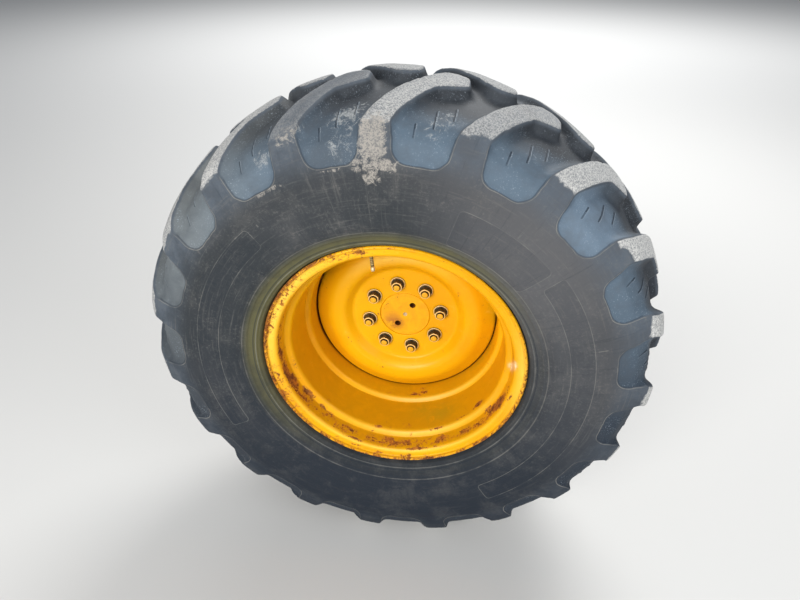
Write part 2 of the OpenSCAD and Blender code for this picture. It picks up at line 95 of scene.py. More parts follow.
def makeStudio():
    world = bpy.data.worlds.new("sky")
    world.use_nodes = True
    bpy.context.scene.world = world
    background = world.node_tree.nodes["Background"]
    background.inputs["Color"].default_value = studio["skyColour"]
    background.inputs["Strength"].default_value = studio["skyStrength"]
    for number, (place, aim, width, height, watts, colour) in enumerate(studio["lamps"]):
        lamp = bpy.data.lights.new(f"lamp{number}", "AREA")
        lamp.shape = "RECTANGLE"
        lamp.size, lamp.size_y = width, height
        lamp.energy, lamp.color = watts, colour
        holder = bpy.data.objects.new(f"lamp{number}", lamp)
        holder.location = place
        holder.rotation_euler = (Vector(aim) - Vector(place)).to_track_quat("-Z", "Y").to_euler()
        bpy.context.scene.collection.objects.link(holder)
    half, z = studio["floorHalf"], studio["floorZ"]
    corners = [(-half, -half, z), (half, -half, z), (half, half, z), (-half, half, z)]
    mesh = bpy.data.meshes.new("floor")
    mesh.from_pydata(corners, [], [(0, 1, 2, 3)])
    floor = bpy.data.objects.new("floor", mesh)
    bpy.context.scene.collection.objects.link(floor)
    material, tree, shader = startMaterial("floorPaper")
    shaded(tree, shader, studio["floorColour"], studio["floorRoughness"])
    mesh.materials.append(material)


# Node helpers

def startMaterial(name):
    material = bpy.data.materials.new(name)
    material.use_nodes = True
    tree = material.node_tree
    tree.nodes.clear()
    output = tree.nodes.new("ShaderNodeOutputMaterial")
    shader = tree.nodes.new("ShaderNodeBsdfPrincipled")
    tree.links.new(shader.outputs[0], output.inputs[0])
    return material, tree, shader


def feed(tree, node, inputs):
    # every input named gets a link or a fixed value
    for key, value in inputs.items():
        if isinstance(value, bpy.types.NodeSocket):
            tree.links.new(value, node.inputs[key])
        else:
            node.inputs[key].default_value = value


def put(tree, kind, inputs, **settings):
    node = tree.nodes.new("ShaderNode" + kind)
    for key, value in settings.items():
        setattr(node, key, value)
    feed(tree, node, inputs)
    return node


def shaded(tree, shader, colour, roughness, metallic=0.0, gloss=0.5):
    feed(tree, shader, {"Base Color": colour, "Roughness": roughness, "Metallic": metallic,
                        "Specular IOR Level": gloss})


def objectPoints(tree):
    return put(tree, "TexCoord", {}).outputs["Object"]


def attribute(tree, name):
    return put(tree, "Attribute", {}, attribute_name=name).outputs["Fac"]


def grain(tree, points, scale, detail=3.0, rough=0.55, distortion=0.0):
    inputs = {"Vector": points, "Scale": scale, "Detail": detail, "Roughness": rough,
              "Distortion": distortion}
    return put(tree, "TexNoise", inputs).outputs["Fac"]


def between(tree, value, low, high, first=0.0, last=1.0):
    # first where the value is low, last where it is high, with a soft passage
    inputs = {"Value": value, "From Min": low, "From Max": high, "To Min": first, "To Max": last}
    return put(tree, "MapRange", inputs, interpolation_type="SMOOTHSTEP").outputs["Result"]


def maths(tree, operation, first, second=0.0):
    return put(tree, "Math", {0: first, 1: second}, operation=operation).outputs[0]


def product(tree, *factors):
    total = factors[0]
    for factor in factors[1:]:
        total = maths(tree, "MULTIPLY", total, factor)
    return total


def weighted(tree, *terms):
    # sum of values, each times its weight
    total = 0.0
    for value, weight in terms:
        total = put(tree, "Math", {0: value, 1: weight, 2: total}, operation="MULTIPLY_ADD").outputs[0]
    return total


def jittered(tree, value, noise, amount):
    # the value, moved up and down by a noise whose middle is a half
    return weighted(tree, (maths(tree, "SUBTRACT", noise, 0.5), amount), (value, 1.0))


def mixColour(tree, amount, first, second):
    return put(tree, "Mix", {0: amount, 6: first, 7: second}, data_type="RGBA").outputs[2]


def layered(tree, palette, colour, layers):
    # colours laid over one another, each as (how much, its name in the palette or the colour itself)
    for amount, over in layers:
        colour = mixColour(tree, amount, colour, palette[over] if isinstance(over, str) else over)
    return colour


def vectors(tree, operation, first, second=(0, 0, 0)):
    node = put(tree, "VectorMath", {0: first, 1: second}, operation=operation)
    single = operation in ("LENGTH", "DISTANCE", "DOT_PRODUCT")
    return node.outputs["Value" if single else "Vector"]


def partOf(tree, points, axis):
    return put(tree, "SeparateXYZ", {0: points}).outputs[axis]


def axisParts(tree, points):
    # distance from the wheel axis, and reach
    radius = vectors(tree, "LENGTH", vectors(tree, "MULTIPLY", points, (1, 0, 1)))
    return radius, maths(tree, "MULTIPLY", partOf(tree, points, "Y"), -1.0)


def ring(tree, value, middle, halfWidth):
    away = maths(tree, "ABSOLUTE", maths(tree, "SUBTRACT", value, middle))
    return between(tree, away, 0.0, halfWidth, 1.0, 0.0)


def patch(tree, points, centre, size):
    return between(tree, vectors(tree, "DISTANCE", points, centre), 0.0, size, 1.0, 0.0)


def bumped(tree, shader, height, strength, distance):
    node = put(tree, "Bump", {"Height": height, "Strength": strength, "Distance": distance})
    feed(tree, shader, {"Normal": node.outputs[0]})


# Surface helpers

def places(turn, radius, reach):
    # a point at a turn about the axis, a radius and a reach
    turn, radius, reach = np.broadcast_arrays(turn, radius, reach)
    return np.stack([radius * np.sin(turn), -reach, radius * np.cos(turn)], -1)


def turned(across, up, reach, turn):
    # a point given in mm, across and up in a plane that is turned about the axis
    x = across * np.cos(turn) + up * np.sin(turn)
    z = up * np.cos(turn) - across * np.sin(turn)
    return np.stack(np.broadcast_arrays(x, -reach, z), -1) * mm


def fullTurn(count):
    return np.linspace(0, circle, count, endpoint=False)


def gridFaces(shape, wrapRows, wrapColumns, first=0):
    # corner indices of every quad between neighbouring lines of a grid with this many rows and columns
    index = first + np.arange(shape[0] * shape[1]).reshape(shape[:2])
    if wrapRows:
        index = np.vstack([index, index[:1]])
    if wrapColumns:
        index = np.hstack([index, index[:, :1]])
    quads = np.stack([index[:-1, :-1], index[:-1, 1:], index[1:, 1:], index[1:, :-1]], -1)
    return quads.reshape(-1, 4)


def makePiece(name, points, quads, material, stands, facts=None, closed=True, joined=False):
    # facts are the values at the points that the material reads as attributes
    points = np.ascontiguousarray(points, np.float32).reshape(-1, 3)
    quads = np.ascontiguousarray(outward(points, quads) if closed else quads, np.int32)
    mesh = bpy.data.meshes.new(name)
    mesh.vertices.add(len(points))
    mesh.vertices.foreach_set("co", points.ravel())
    mesh.loops.add(quads.size)
    mesh.loops.foreach_set("vertex_index", quads.ravel())
    mesh.polygons.add(len(quads))
    mesh.polygons.foreach_set("loop_start", np.arange(0, quads.size, 4, dtype=np.int32))
    mesh.polygons.foreach_set("use_smooth", np.ones(len(quads), bool))
    for key, values in (facts or {}).items():
        layer = mesh.attributes.new(key, "FLOAT", "POINT")
        layer.data.foreach_set("value", np.ascontiguousarray(values, np.float32).ravel())
    mesh.update(calc_edges=True)
    mesh.validate()
    if joined:
        # the edges of neighbouring grids that lie on each other become one
        shape = bmesh.new()
        shape.from_mesh(mesh)
        bmesh.ops.remove_doubles(shape, verts=shape.verts, dist=1e-5)
        bmesh.ops.recalc_face_normals(shape, faces=shape.faces)
        shape.to_mesh(mesh)
        shape.free()
    piece = bpy.data.objects.new(name, mesh)
    bpy.context.scene.collection.objects.link(piece)
    mesh.materials.append(material)
    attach(piece, "wheel")
    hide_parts(*stands)
    print(name, "done:", 2 * len(quads), "triangles")


def outward(points, quads):
    # quads of a closed surface, turned over where its signed volume is negative
    a, b, c, d = (points[quads[:, k]] for k in range(4))
    volume = (np.cross(a, b) * c).sum() + (np.cross(a, c) * d).sum()
    return quads[:, ::-1] if volume < 0 else quads


def roundedPath(corners, step=6.0):
    # corner list of (x, y, bend radius), each corner turned into an arc of short chords
    corners = np.array(corners, float)
    points = [corners[0, :2]]
    for before, here, after in zip(corners[:-2], corners[1:-1], corners[2:]):
        into = (here - before)[:2] / np.linalg.norm((here - before)[:2])
        out = (after - here)[:2] / np.linalg.norm((after - here)[:2])
        angle = math.atan2(into[0] * out[1] - into[1] * out[0], into @ out)
        if here[2] == 0 or abs(angle) < 1e-6:
            points.append(here[:2])
            continue
        side = np.sign(angle) * np.array([into[1], -into[0]])
        centre = here[:2] - here[2] * math.tan(abs(angle) / 2) * into - here[2] * side
        t = np.linspace(0, angle, max(2, int(abs(math.degrees(angle)) / step) + 2))[:, None]
        points.extend(centre + here[2] * (side * np.cos(t) + np.array([-side[1], side[0]]) * np.sin(t)))
    points.append(corners[-1, :2])
    return np.array(points)


def lengthAlong(path):
    # way along the path at each of its points
    return np.concatenate([[0], np.cumsum(np.linalg.norm(np.diff(path, axis=0), axis=1))])


def resampled(path, distances):
    # points of the path at these ways along it
    along = lengthAlong(path)
    return np.stack([np.interp(distances, along, path[:, k]) for k in (0, 1)], -1)


def denser(path, spacing):
    # the same path with no chord longer than the spacing
    parts = [path[:1]]
    for first, last in zip(path[:-1], path[1:]):
        count = max(1, int(math.ceil(np.linalg.norm(last - first) / spacing)))
        parts.append(first + (last - first) * (np.arange(1, count + 1) / count)[:, None])
    return np.vstack(parts)


def directions(path):
    # unit vectors along the path and square to it
    ahead = np.gradient(path, axis=0)
    ahead /= np.linalg.norm(ahead, axis=1)[:, None]
    return ahead, np.stack([ahead[:, 1], -ahead[:, 0]], -1)


endPoints = 6                # of a sheet's rounded end


def halfRound(end, side, ahead, half):
    # half circle from one face of a sheet round its end to the other face
    t = np.linspace(0, math.pi, endPoints + 2)[1:-1, None]
    return end + half * (side * np.cos(t) + ahead * np.sin(t))


def sheetOutline(path, thickness):
    # closed outline of a sheet whose middle follows the path, with round ends
    ahead, side = directions(path)
    half = thickness / 2
    return np.vstack([
        path + half * side, halfRound(path[-1], side[-1], ahead[-1], half),
        (path - half * side)[::-1], halfRound(path[0], -side[0], -ahead[0], half)])


def lumps(points, size, seed):
    # smooth noise in -1..1: random values on a cubic lattice, blended between its corners
    lattice = np.random.default_rng(seed).uniform(-1, 1, (32, 32, 32))
    where = np.asarray(points) / size
    low = np.floor(where).astype(int)
    part = where - low
    part = part * part * (3 - 2 * part)
    total = 0
    for dx in (0, 1):
        for dy in (0, 1):
            for dz in (0, 1):
                weight = np.prod(np.where([dx, dy, dz], part, 1 - part), -1)
                corner = (low + [dx, dy, dz]) % 32
                total = total + weight * lattice[corner[..., 0], corner[..., 1], corner[..., 2]]
    return total


def planDistance(points, outline):
    # distance from each point to a closed outline, negative inside it
    shape = points.shape[:-1]
    flat = points.reshape(-1, 1, 2)
    start, end = outline[None], np.roll(outline, -1, 0)[None]
    edge = end - start
    part = np.clip(((flat - start) * edge).sum(-1) / np.maximum((edge ** 2).sum(-1), 1e-9), 0, 1)
    near = np.sqrt((((flat - start) - edge * part[..., None]) ** 2).sum(-1).min(1))
    above = (start[..., 1] > flat[..., 1]) != (end[..., 1] > flat[..., 1])
    cross = edge[..., 0] * (flat[..., 1] - start[..., 1]) / np.where(edge[..., 1] == 0, 1e-9, edge[..., 1])
    inside = (above & (flat[..., 0] < start[..., 0] + cross)).sum(1) % 2 == 1
    return np.where(inside, -near, near).reshape(shape)


def spots(points, table):
    # how strongly a table of spots covers each point. A spot is (turn in degrees, radius, reach,
    # size along the turn, size across it, strength), sizes in mm, and fades as a bell curve
    x, y, z = np.moveaxis(points, -1, 0) / mm
    total = np.zeros(points.shape[:-1])
    for turn, radius, reach, length, width, strength in table:
        along = (np.arctan2(x, z) - math.radians(turn) + math.pi) % circle - math.pi
        along = along * radius
        across = np.hypot(np.hypot(x, z) - radius, -y - reach)
        total = np.maximum(total, strength * np.exp(-(along / length) ** 2 - (across / width) ** 2))
    return total


# Materials

paint = {
    # the dark red-brown stands for painted shadow in the gap beside the disc, the pale cream edge colour for
    # a painted highlight on the nuts' edges, and the brown mustard for painted shade with a brown film
    "clean": (0.82, 0.415, 0.003, 1), "warm": (0.77, 0.345, 0.003, 1), "pale": (0.95, 0.60, 0.08, 1),
    "rust": (0.135, 0.044, 0.014, 1), "rustPale": (0.47, 0.17, 0.022, 1), "green": (0.37, 0.27, 0.010, 1),
    "dark": (0.095, 0.014, 0.004, 1), "chip": (0.92, 0.80, 0.60, 1), "shadeAndGrime": (0.48, 0.245, 0.003, 1),
    "edge": (0.90, 0.66, 0.32, 1), "stain": (0.30, 0.085, 0.012, 1), "drilled": (0.50, 0.40, 0.24, 1),
    "gloss": 0.16,
}


def paintMaterial(name, speckled=0.02):
    # yellow enamel: slow colour drift and pale scuffs; the attributes paintedHighlight, shadeAndGrime, green,
    # rust, chip and dark say where a painted highlight in pale paint, painted shade with a brown film, a
    # stain, rust, a chip and painted shadow in the gap lie
    material, tree, shader = startMaterial(name)
    points = objectPoints(tree)
    drift = grain(tree, points, 4.0, 4.0)
    scuffs = grain(tree, points, 26.0, 6.0, 0.68, 0.5)
    clouds = grain(tree, points, 34.0, 6.0, 0.7, 0.6)
    fine = grain(tree, points, 70.0, 5.0, 0.7)
    pits = grain(tree, points, 150.0, 5.0, 0.72, 0.3)

    def film(name, noise, low, high, least=0.0):
        return product(tree, attribute(tree, name), between(tree, noise, low, high, least, 1.0))

    level = weighted(tree, (pits, 0.5), (clouds, 0.5), (attribute(tree, "rust"), 0.22), (speckled, 1.0))
    rusty = between(tree, level, 0.665, 0.70)
    rustColour = mixColour(tree, between(tree, fine, 0.38, 0.68), paint["rust"], paint["rustPale"])
    colour = layered(tree, paint, paint["clean"], [
        (between(tree, drift, 0.36, 0.66), "warm"),
        (between(tree, scuffs, 0.58, 0.78, 0.0, 0.35), "pale"),
        # painted highlights in pale paint on the rim's steps and flange and on the disc's bulge
        (film("paintedHighlight", clouds, 0.20, 0.60, 0.6), "pale"),
        # painted shade with a brown film on the rim's faces towards the axis
        (film("shadeAndGrime", clouds, 0.25, 0.62, 0.72), "shadeAndGrime"),
        (film("green", clouds, 0.30, 0.54), "green"),
        (between(tree, level, 0.60, 0.68, 0.0, 0.7), "rustPale"),
        (rusty, rustColour),
        (film("chip", pits, 0.35, 0.55), "chip"),
        # painted shadow, tinted red like rust, in the gap between rim and disc
        (attribute(tree, "dark"), "dark"),
    ])
    shaded(tree, shader, colour, between(tree, rusty, 0.0, 1.0, 0.33, 0.85), gloss=paint["gloss"])
    bumped(tree, shader, weighted(tree, (fine, 0.25), (rusty, -1.0)), 0.35, 0.0008)
    return material


rubber = {
    # of these colours low serves partly as painted shade, darker below, in the pockets' depth and at the
    # lugs' feet; pocketDark is painted shade in the pockets; line partly draws a painted highlight round the
    # pockets' ends
    "dark": (0.029, 0.034, 0.039, 1), "grey": (0.068, 0.071, 0.077, 1), "pale": (0.090, 0.092, 0.098, 1),
    "low": (0.012, 0.018, 0.029, 1), "lugSide": (0.084, 0.104, 0.130, 1), "worn": (0.74, 0.73, 0.70, 1),
    "dust": (0.155, 0.151, 0.142, 1), "olive": (0.110, 0.104, 0.046, 1), "line": (0.20, 0.198, 0.185, 1),
    "mud": (0.36, 0.335, 0.30, 1), "mudPale": (0.36, 0.375, 0.375, 1), "pocket": (0.100, 0.142, 0.188, 1),
    "pocketDark": (0.036, 0.041, 0.048, 1), "pocketPale": (0.28, 0.33, 0.38, 1),
    "pocketBlue": (0.150, 0.208, 0.275, 1), "pocketGrey": (0.165, 0.180, 0.183, 1),
    "gloss": 0.2,
    # round clouds of one colour: centre and size; the pale one on the side is painted light, the shaded one
    # in the pockets painted shade
    "paleSide": ((0.32, -0.785, 0.36), 0.30),
    "darkSide": ((-0.03, -0.785, 0.42), 0.22),
    "rubbedSide": ((-0.10, -0.785, 0.49), 0.24),
    "shadedPocket": ((-0.12, -0.755, 0.54), 0.15),
    "dullPocket": ((0.62, -0.72, -0.18), 0.42),
    "bluePocket": ((0.43, -0.74, 0.44), 0.17),
    # radius of the olive ring's two ends, and of a dark and two pale rings with their half widths
    "oliveRing": (0.352, 0.384),
    "darkRing": (0.3505, 0.0030),
    "paleRings": [(0.345, 0.0022), (0.3755, 0.0020)],
}


def rubberNoises(tree, points):
    broad = grain(tree, points, 2.6, 4.0)
    cloudy = grain(tree, points, 16.0, 6.0, 0.65, 0.3)
    fine = grain(tree, points, 150.0, 5.0, 0.75)
    specks = grain(tree, points, 300.0, 3.0, 0.7)
    return broad, cloudy, fine, specks


def scuffNoises(tree, points, radius):
    # scuffs that run round the side and short ones that run across it: noise on the direction
    # from the axis and on the radius, each stretched its own way
    way = vectors(tree, "NORMALIZE", vectors(tree, "MULTIPLY", points, (1, 0, 1)))
    noises = []
    for turnScale, radiusScale in ((5.0, 150.0), (70.0, 9.0)):
        stretched = vectors(tree, "MULTIPLY", way, (turnScale,) * 3)
        offset = put(tree, "CombineXYZ", {1: maths(tree, "MULTIPLY", radius, radiusScale)}).outputs[0]
        noises.append(grain(tree, vectors(tree, "ADD", stretched, offset), 1.0, 4.0, 0.7))
    return noises


def sideColour(tree, points, noises, panelLines):
    # grey with painted light, paler to the upper right and dark and bluish below; dusty and scuffed above
    broad, cloudy, fine, specks = noises
    radius = axisParts(tree, points)[0]
    height = partOf(tree, points, "Z")
    # painted light: paler towards the upper right, with broad noise
    raised = maths(tree, "ADD", vectors(tree, "DOT_PRODUCT", points, (0.25, 0.0, 0.30)), broad)
    lugSides = product(tree, between(tree, radius, 0.50, 0.58), between(tree, cloudy, 0.30, 0.60, 0.45, 0.95))
    upward = between(tree, height, -0.45, 0.10, 0.25, 1.0)
    dusty = product(tree, between(tree, fine, 0.50, 0.70), between(tree, cloudy, 0.38, 0.60, 0.08, 0.42))
    around, across = scuffNoises(tree, points, radius)
    rubbed = product(tree, patch(tree, points, *rubber["rubbedSide"]),
                     between(tree, across, 0.48, 0.30, 0.0, 0.35))
    upperLeft = vectors(tree, "DOT_PRODUCT", points, (-0.62, 0.0, 0.78))
    olive = product(tree, between(tree, radius, *rubber["oliveRing"], 0.9, 0.0),
                    between(tree, upperLeft, -0.16, 0.26, 0.06, 1.0),
                    between(tree, cloudy, 0.26, 0.58, 0.55, 1.0))
    seams = weighted(tree, *((ring(tree, radius, *place), 1.0) for place in rubber["paleRings"]))
    return layered(tree, rubber, rubber["dark"], [
        (between(tree, raised, 0.38, 0.76), "grey"),
        # painted light: a paler cloud at the side's upper right
        (patch(tree, points, *rubber["paleSide"]), "pale"),
        (patch(tree, points, *rubber["darkSide"]), "dark"),
        (lugSides, "lugSide"),
        # painted shade: darker towards the bottom
        (between(tree, height, -0.55, 0.26, 0.82, 0.0), "low"),
        (between(tree, cloudy, 0.46, 0.72, 0.0, 0.16), "dust"),
        (product(tree, dusty, upward), "dust"),
        (product(tree, between(tree, around, 0.52, 0.74, 0.0, 0.30), upward), "dust"),
        (between(tree, across, 0.54, 0.76, 0.0, 0.32), "low"),
        (rubbed, "dust"),
        (olive, "olive"),
        (product(tree, ring(tree, radius, *rubber["darkRing"]), 0.55), "low"),
        (product(tree, seams, between(tree, cloudy, 0.34, 0.60, 0.1, 0.5)), "line"),
        (between(tree, attribute(tree, "panel"), -1.0, 1.0, 0.14, 0.0), "low"),
        (panelLines, "line"),
    ])


def pocketColour(tree, points, cloudy, down):
    # bluish at the shoulder, with painted shade making it dark towards the tyre's middle and at the wheel's
    # foot, grey at its left
    # painted shade: dark towards the tyre's middle, bluish towards the shoulder
    outer = between(tree, jittered(tree, down, cloudy, 90.0), 120.0, 250.0)
    height = partOf(tree, points, "Z")
    return layered(tree, rubber, rubber["pocketDark"], [
        (outer, "pocket"),
        (between(tree, partOf(tree, points, "X"), -0.50, -0.20, 0.8, 0.0), "pocketGrey"),
        (product(tree, patch(tree, points, *rubber["shadedPocket"]), 0.5), "pocketDark"),
        # painted shade towards the wheel's foot
        (between(tree, height, -0.30, 0.40, 0.92, 0.0), "low"),
        (product(tree, patch(tree, points, *rubber["dullPocket"]), 0.6), "low"),
        (patch(tree, points, *rubber["bluePocket"]), "pocketBlue"),
    ])


def rubberMaterial():
    # sides, bluish pockets with pale specks, scuffed pale lug tops, dried mud.
    # attributes: edge, mm outside a lug; down, mm from the middle plane along the section;
    # wearAndLight, how pale a lug's top is from wear and from painted light that pales the right-hand tops;
    # mud;
    # rib and ribShade, mm from a pocket's rib and its dark side; panel, mm outside a raised band of the side
    material, tree, shader = startMaterial("tyreRubber")
    points = objectPoints(tree)
    noises = rubberNoises(tree, points)
    cloudy, fine, specks = noises[1:]
    edge, down, rib, shade, mud = (attribute(tree, key) for key in ("edge", "down", "rib", "ribShade", "mud"))
    panelLines = product(tree, ring(tree, attribute(tree, "panel"), 0.0, 1.5),
                         between(tree, cloudy, 0.36, 0.58, 0.10, 0.5))
    pocket = between(tree, edge, 1.5, 5.0)
    splash = product(tree, pocket, between(tree, specks, 0.56, 0.70),
                     between(tree, cloudy, 0.44, 0.62, 0.1, 0.8))
    onSide = between(tree, down, 226.0, 244.0)
    # painted highlight: a pale line along the pockets' ends on the side
    outline = product(tree, ring(tree, edge, 0.4, 1.5), onSide, between(tree, cloudy, 0.34, 0.60, 0.2, 0.95))
    ragged = jittered(tree, edge, fine, 5.0)
    upper = jittered(tree, jittered(tree, down, cloudy, 60.0), fine, 16.0)
    top = product(tree, between(tree, ragged, -1.4, 0.6, 1.0, 0.0),
                  between(tree, upper, 221.0, 228.0, 1.0, 0.0))
    speckled = between(tree, weighted(tree, (fine, 0.6), (specks, 1.0)), 0.66, 0.92, 0.36, 1.0)
    flecks = grain(tree, points, 62.0, 7.0, 0.78, 0.9)
    grit = between(tree, weighted(tree, (fine, 0.6), (specks, 0.6)), 0.50, 0.66, 0.42, 1.0)
    thick = weighted(tree, (flecks, 0.7), (cloudy, 0.3), (mud, 0.20))
    covered = between(tree, mud, 0.06, 0.40, 0.0, 0.85)
    crumbs = product(tree, covered, between(tree, thick, 0.575, 0.665), grit)
    bluish = product(tree, pocket, between(tree, cloudy, 0.28, 0.60, 0.60, 1.0))
    colour = layered(tree, rubber, sideColour(tree, points, noises, panelLines), [
        (bluish, pocketColour(tree, points, cloudy, down)),
        (splash, "pocketPale"),
        (outline, "line"),
        # painted shade at the foot of each lug's flank
        (product(tree, ring(tree, edge, 4.2, 2.2), onSide, 0.5), "low"),
        # pale worn lug tops; their paleness by turn is partly painted light, strongest on the right
        (product(tree, top, attribute(tree, "wearAndLight"), speckled), "worn"),
        (crumbs, mixColour(tree, pocket, rubber["mud"], rubber["mudPale"])),
        # painted shade beside each rib and a painted highlight on it
        (between(tree, shade, 1.2, 2.6, 0.8, 0.0), "low"),
        (between(tree, rib, 0.8, 2.2, 0.45, 0.0), "pocketPale"),
    ])
    shaded(tree, shader, colour, between(tree, pocket, 0.0, 1.0, 0.80, 0.66), gloss=rubber["gloss"])
    relief = weighted(tree, (fine, 0.5), (cloudy, 0.8), (between(tree, rib, 0.6, 2.8, 1.4, 0.0), 1.0),
                      (product(tree, top, specks), 1.2), (panelLines, 0.8))
    bumped(tree, shader, relief, 0.4, 0.0018)
    return material


steels = {
    # two greys, grain's scale, roughness, metallic, amount of rust, thickness of paint
    "fixingSteel": ((0.030, 0.024, 0.016, 1), (0.11, 0.085, 0.05, 1), 180, 0.5, 0.6, 0.3, 0.9),
    "shaftSteel": ((0.30, 0.29, 0.28, 1), (0.52, 0.51, 0.50, 1), 120, 0.32, 1.0, 0.1, 0.0),
}


def metalMaterial(name):
    # bare or dirty metal: two greys in fine grain, brown rust in patches, and flecks of yellow
    # paint where the attribute paint says so, pale as a painted highlight where it says most
    dark, light, scale, roughness, metallic, rust, painted = steels[name]
    material, tree, shader = startMaterial(name)
    points = objectPoints(tree)
    fine = grain(tree, points, scale, 5.0, 0.7)
    patches = grain(tree, points, scale * 0.22, 5.0, 0.65, 0.3)
    flecks = grain(tree, points, scale * 0.5, 5.0, 0.7, 0.5)
    rusty = between(tree, patches, 0.66 - 0.3 * rust, 0.80 - 0.3 * rust, 0.0, 0.9)
    onIt = attribute(tree, "paint")
    cover = between(tree, jittered(tree, onIt, flecks, 1.0), 0.45, 0.60, 0.0, painted)
    colour = layered(tree, paint, dark, [
        (between(tree, fine, 0.35, 0.65), light),
        (rusty, "rust"),
        # where the attribute paint is highest the paint turns pale: a painted highlight on the nuts' edges
        (cover, mixColour(tree, between(tree, onIt, 0.88, 0.98), paint["clean"], paint["edge"])),
    ])
    shaded(tree, shader, colour, between(tree, rusty, 0.0, 0.9, roughness, 0.85),
           between(tree, cover, 0.0, 1.0, metallic, 0.0))
    bumped(tree, shader, fine, 0.25, 0.0006)
    return material


hub = {
    "steel": ((0.28, 0.27, 0.26, 1), (0.50, 0.49, 0.48, 1)),
    "gloss": 0.3,
    # centre and size of a wide brown tint and of the stain round one puller hole
    "tint": ((-0.034, -0.511, -0.026), 0.042),
    "stain": ((-0.021, -0.511, -0.032), 0.026),
    "paintedFrom": (0.462, 0.470),   # reach at which the paint starts
    "face": (0.5075, 0.5090),        # reach below which the holes are rusty
}


def hubMaterial():
    # the shaft: yellow paint on its outer face, turned and oiled steel inside the arm
    material, tree, shader = startMaterial("hubPaint")
    points = objectPoints(tree)
    radius, reach = axisParts(tree, points)
    fine = grain(tree, points, 110.0, 5.0, 0.7)
    clouds = grain(tree, points, 40.0, 6.0, 0.7, 0.5)
    inHole = product(tree, between(tree, reach, *hub["face"], 1.0, 0.0),
                     between(tree, radius, 0.060, 0.064, 1.0, 0.0))
    tint = product(tree, patch(tree, points, *hub["tint"]), between(tree, clouds, 0.28, 0.54))
    stain = product(tree, patch(tree, points, *hub["stain"]), between(tree, clouds, 0.25, 0.50, 0.0, 0.65))
    yellow = layered(tree, paint, paint["clean"], [
        (between(tree, clouds, 0.36, 0.66), "warm"),
        (tint, "rustPale"),
        (stain, "stain"),
        (inHole, "rust"),
        (between(tree, maths(tree, "ADD", fine, clouds), 1.20, 1.28), "rust"),
        (between(tree, radius, 0.0050, 0.0066, 1.0, 0.0), "drilled"),
    ])
    steel = mixColour(tree, between(tree, fine, 0.35, 0.65), *hub["steel"])
    painted = between(tree, reach, *hub["paintedFrom"])
    shaded(tree, shader, mixColour(tree, painted, steel, yellow),
           between(tree, painted, 0.0, 1.0, 0.28, 0.38), between(tree, painted, 0.0, 1.0, 1.0, 0.0),
           hub["gloss"])
    bumped(tree, shader, fine, 0.3, 0.0006)
    return material


# Tyre

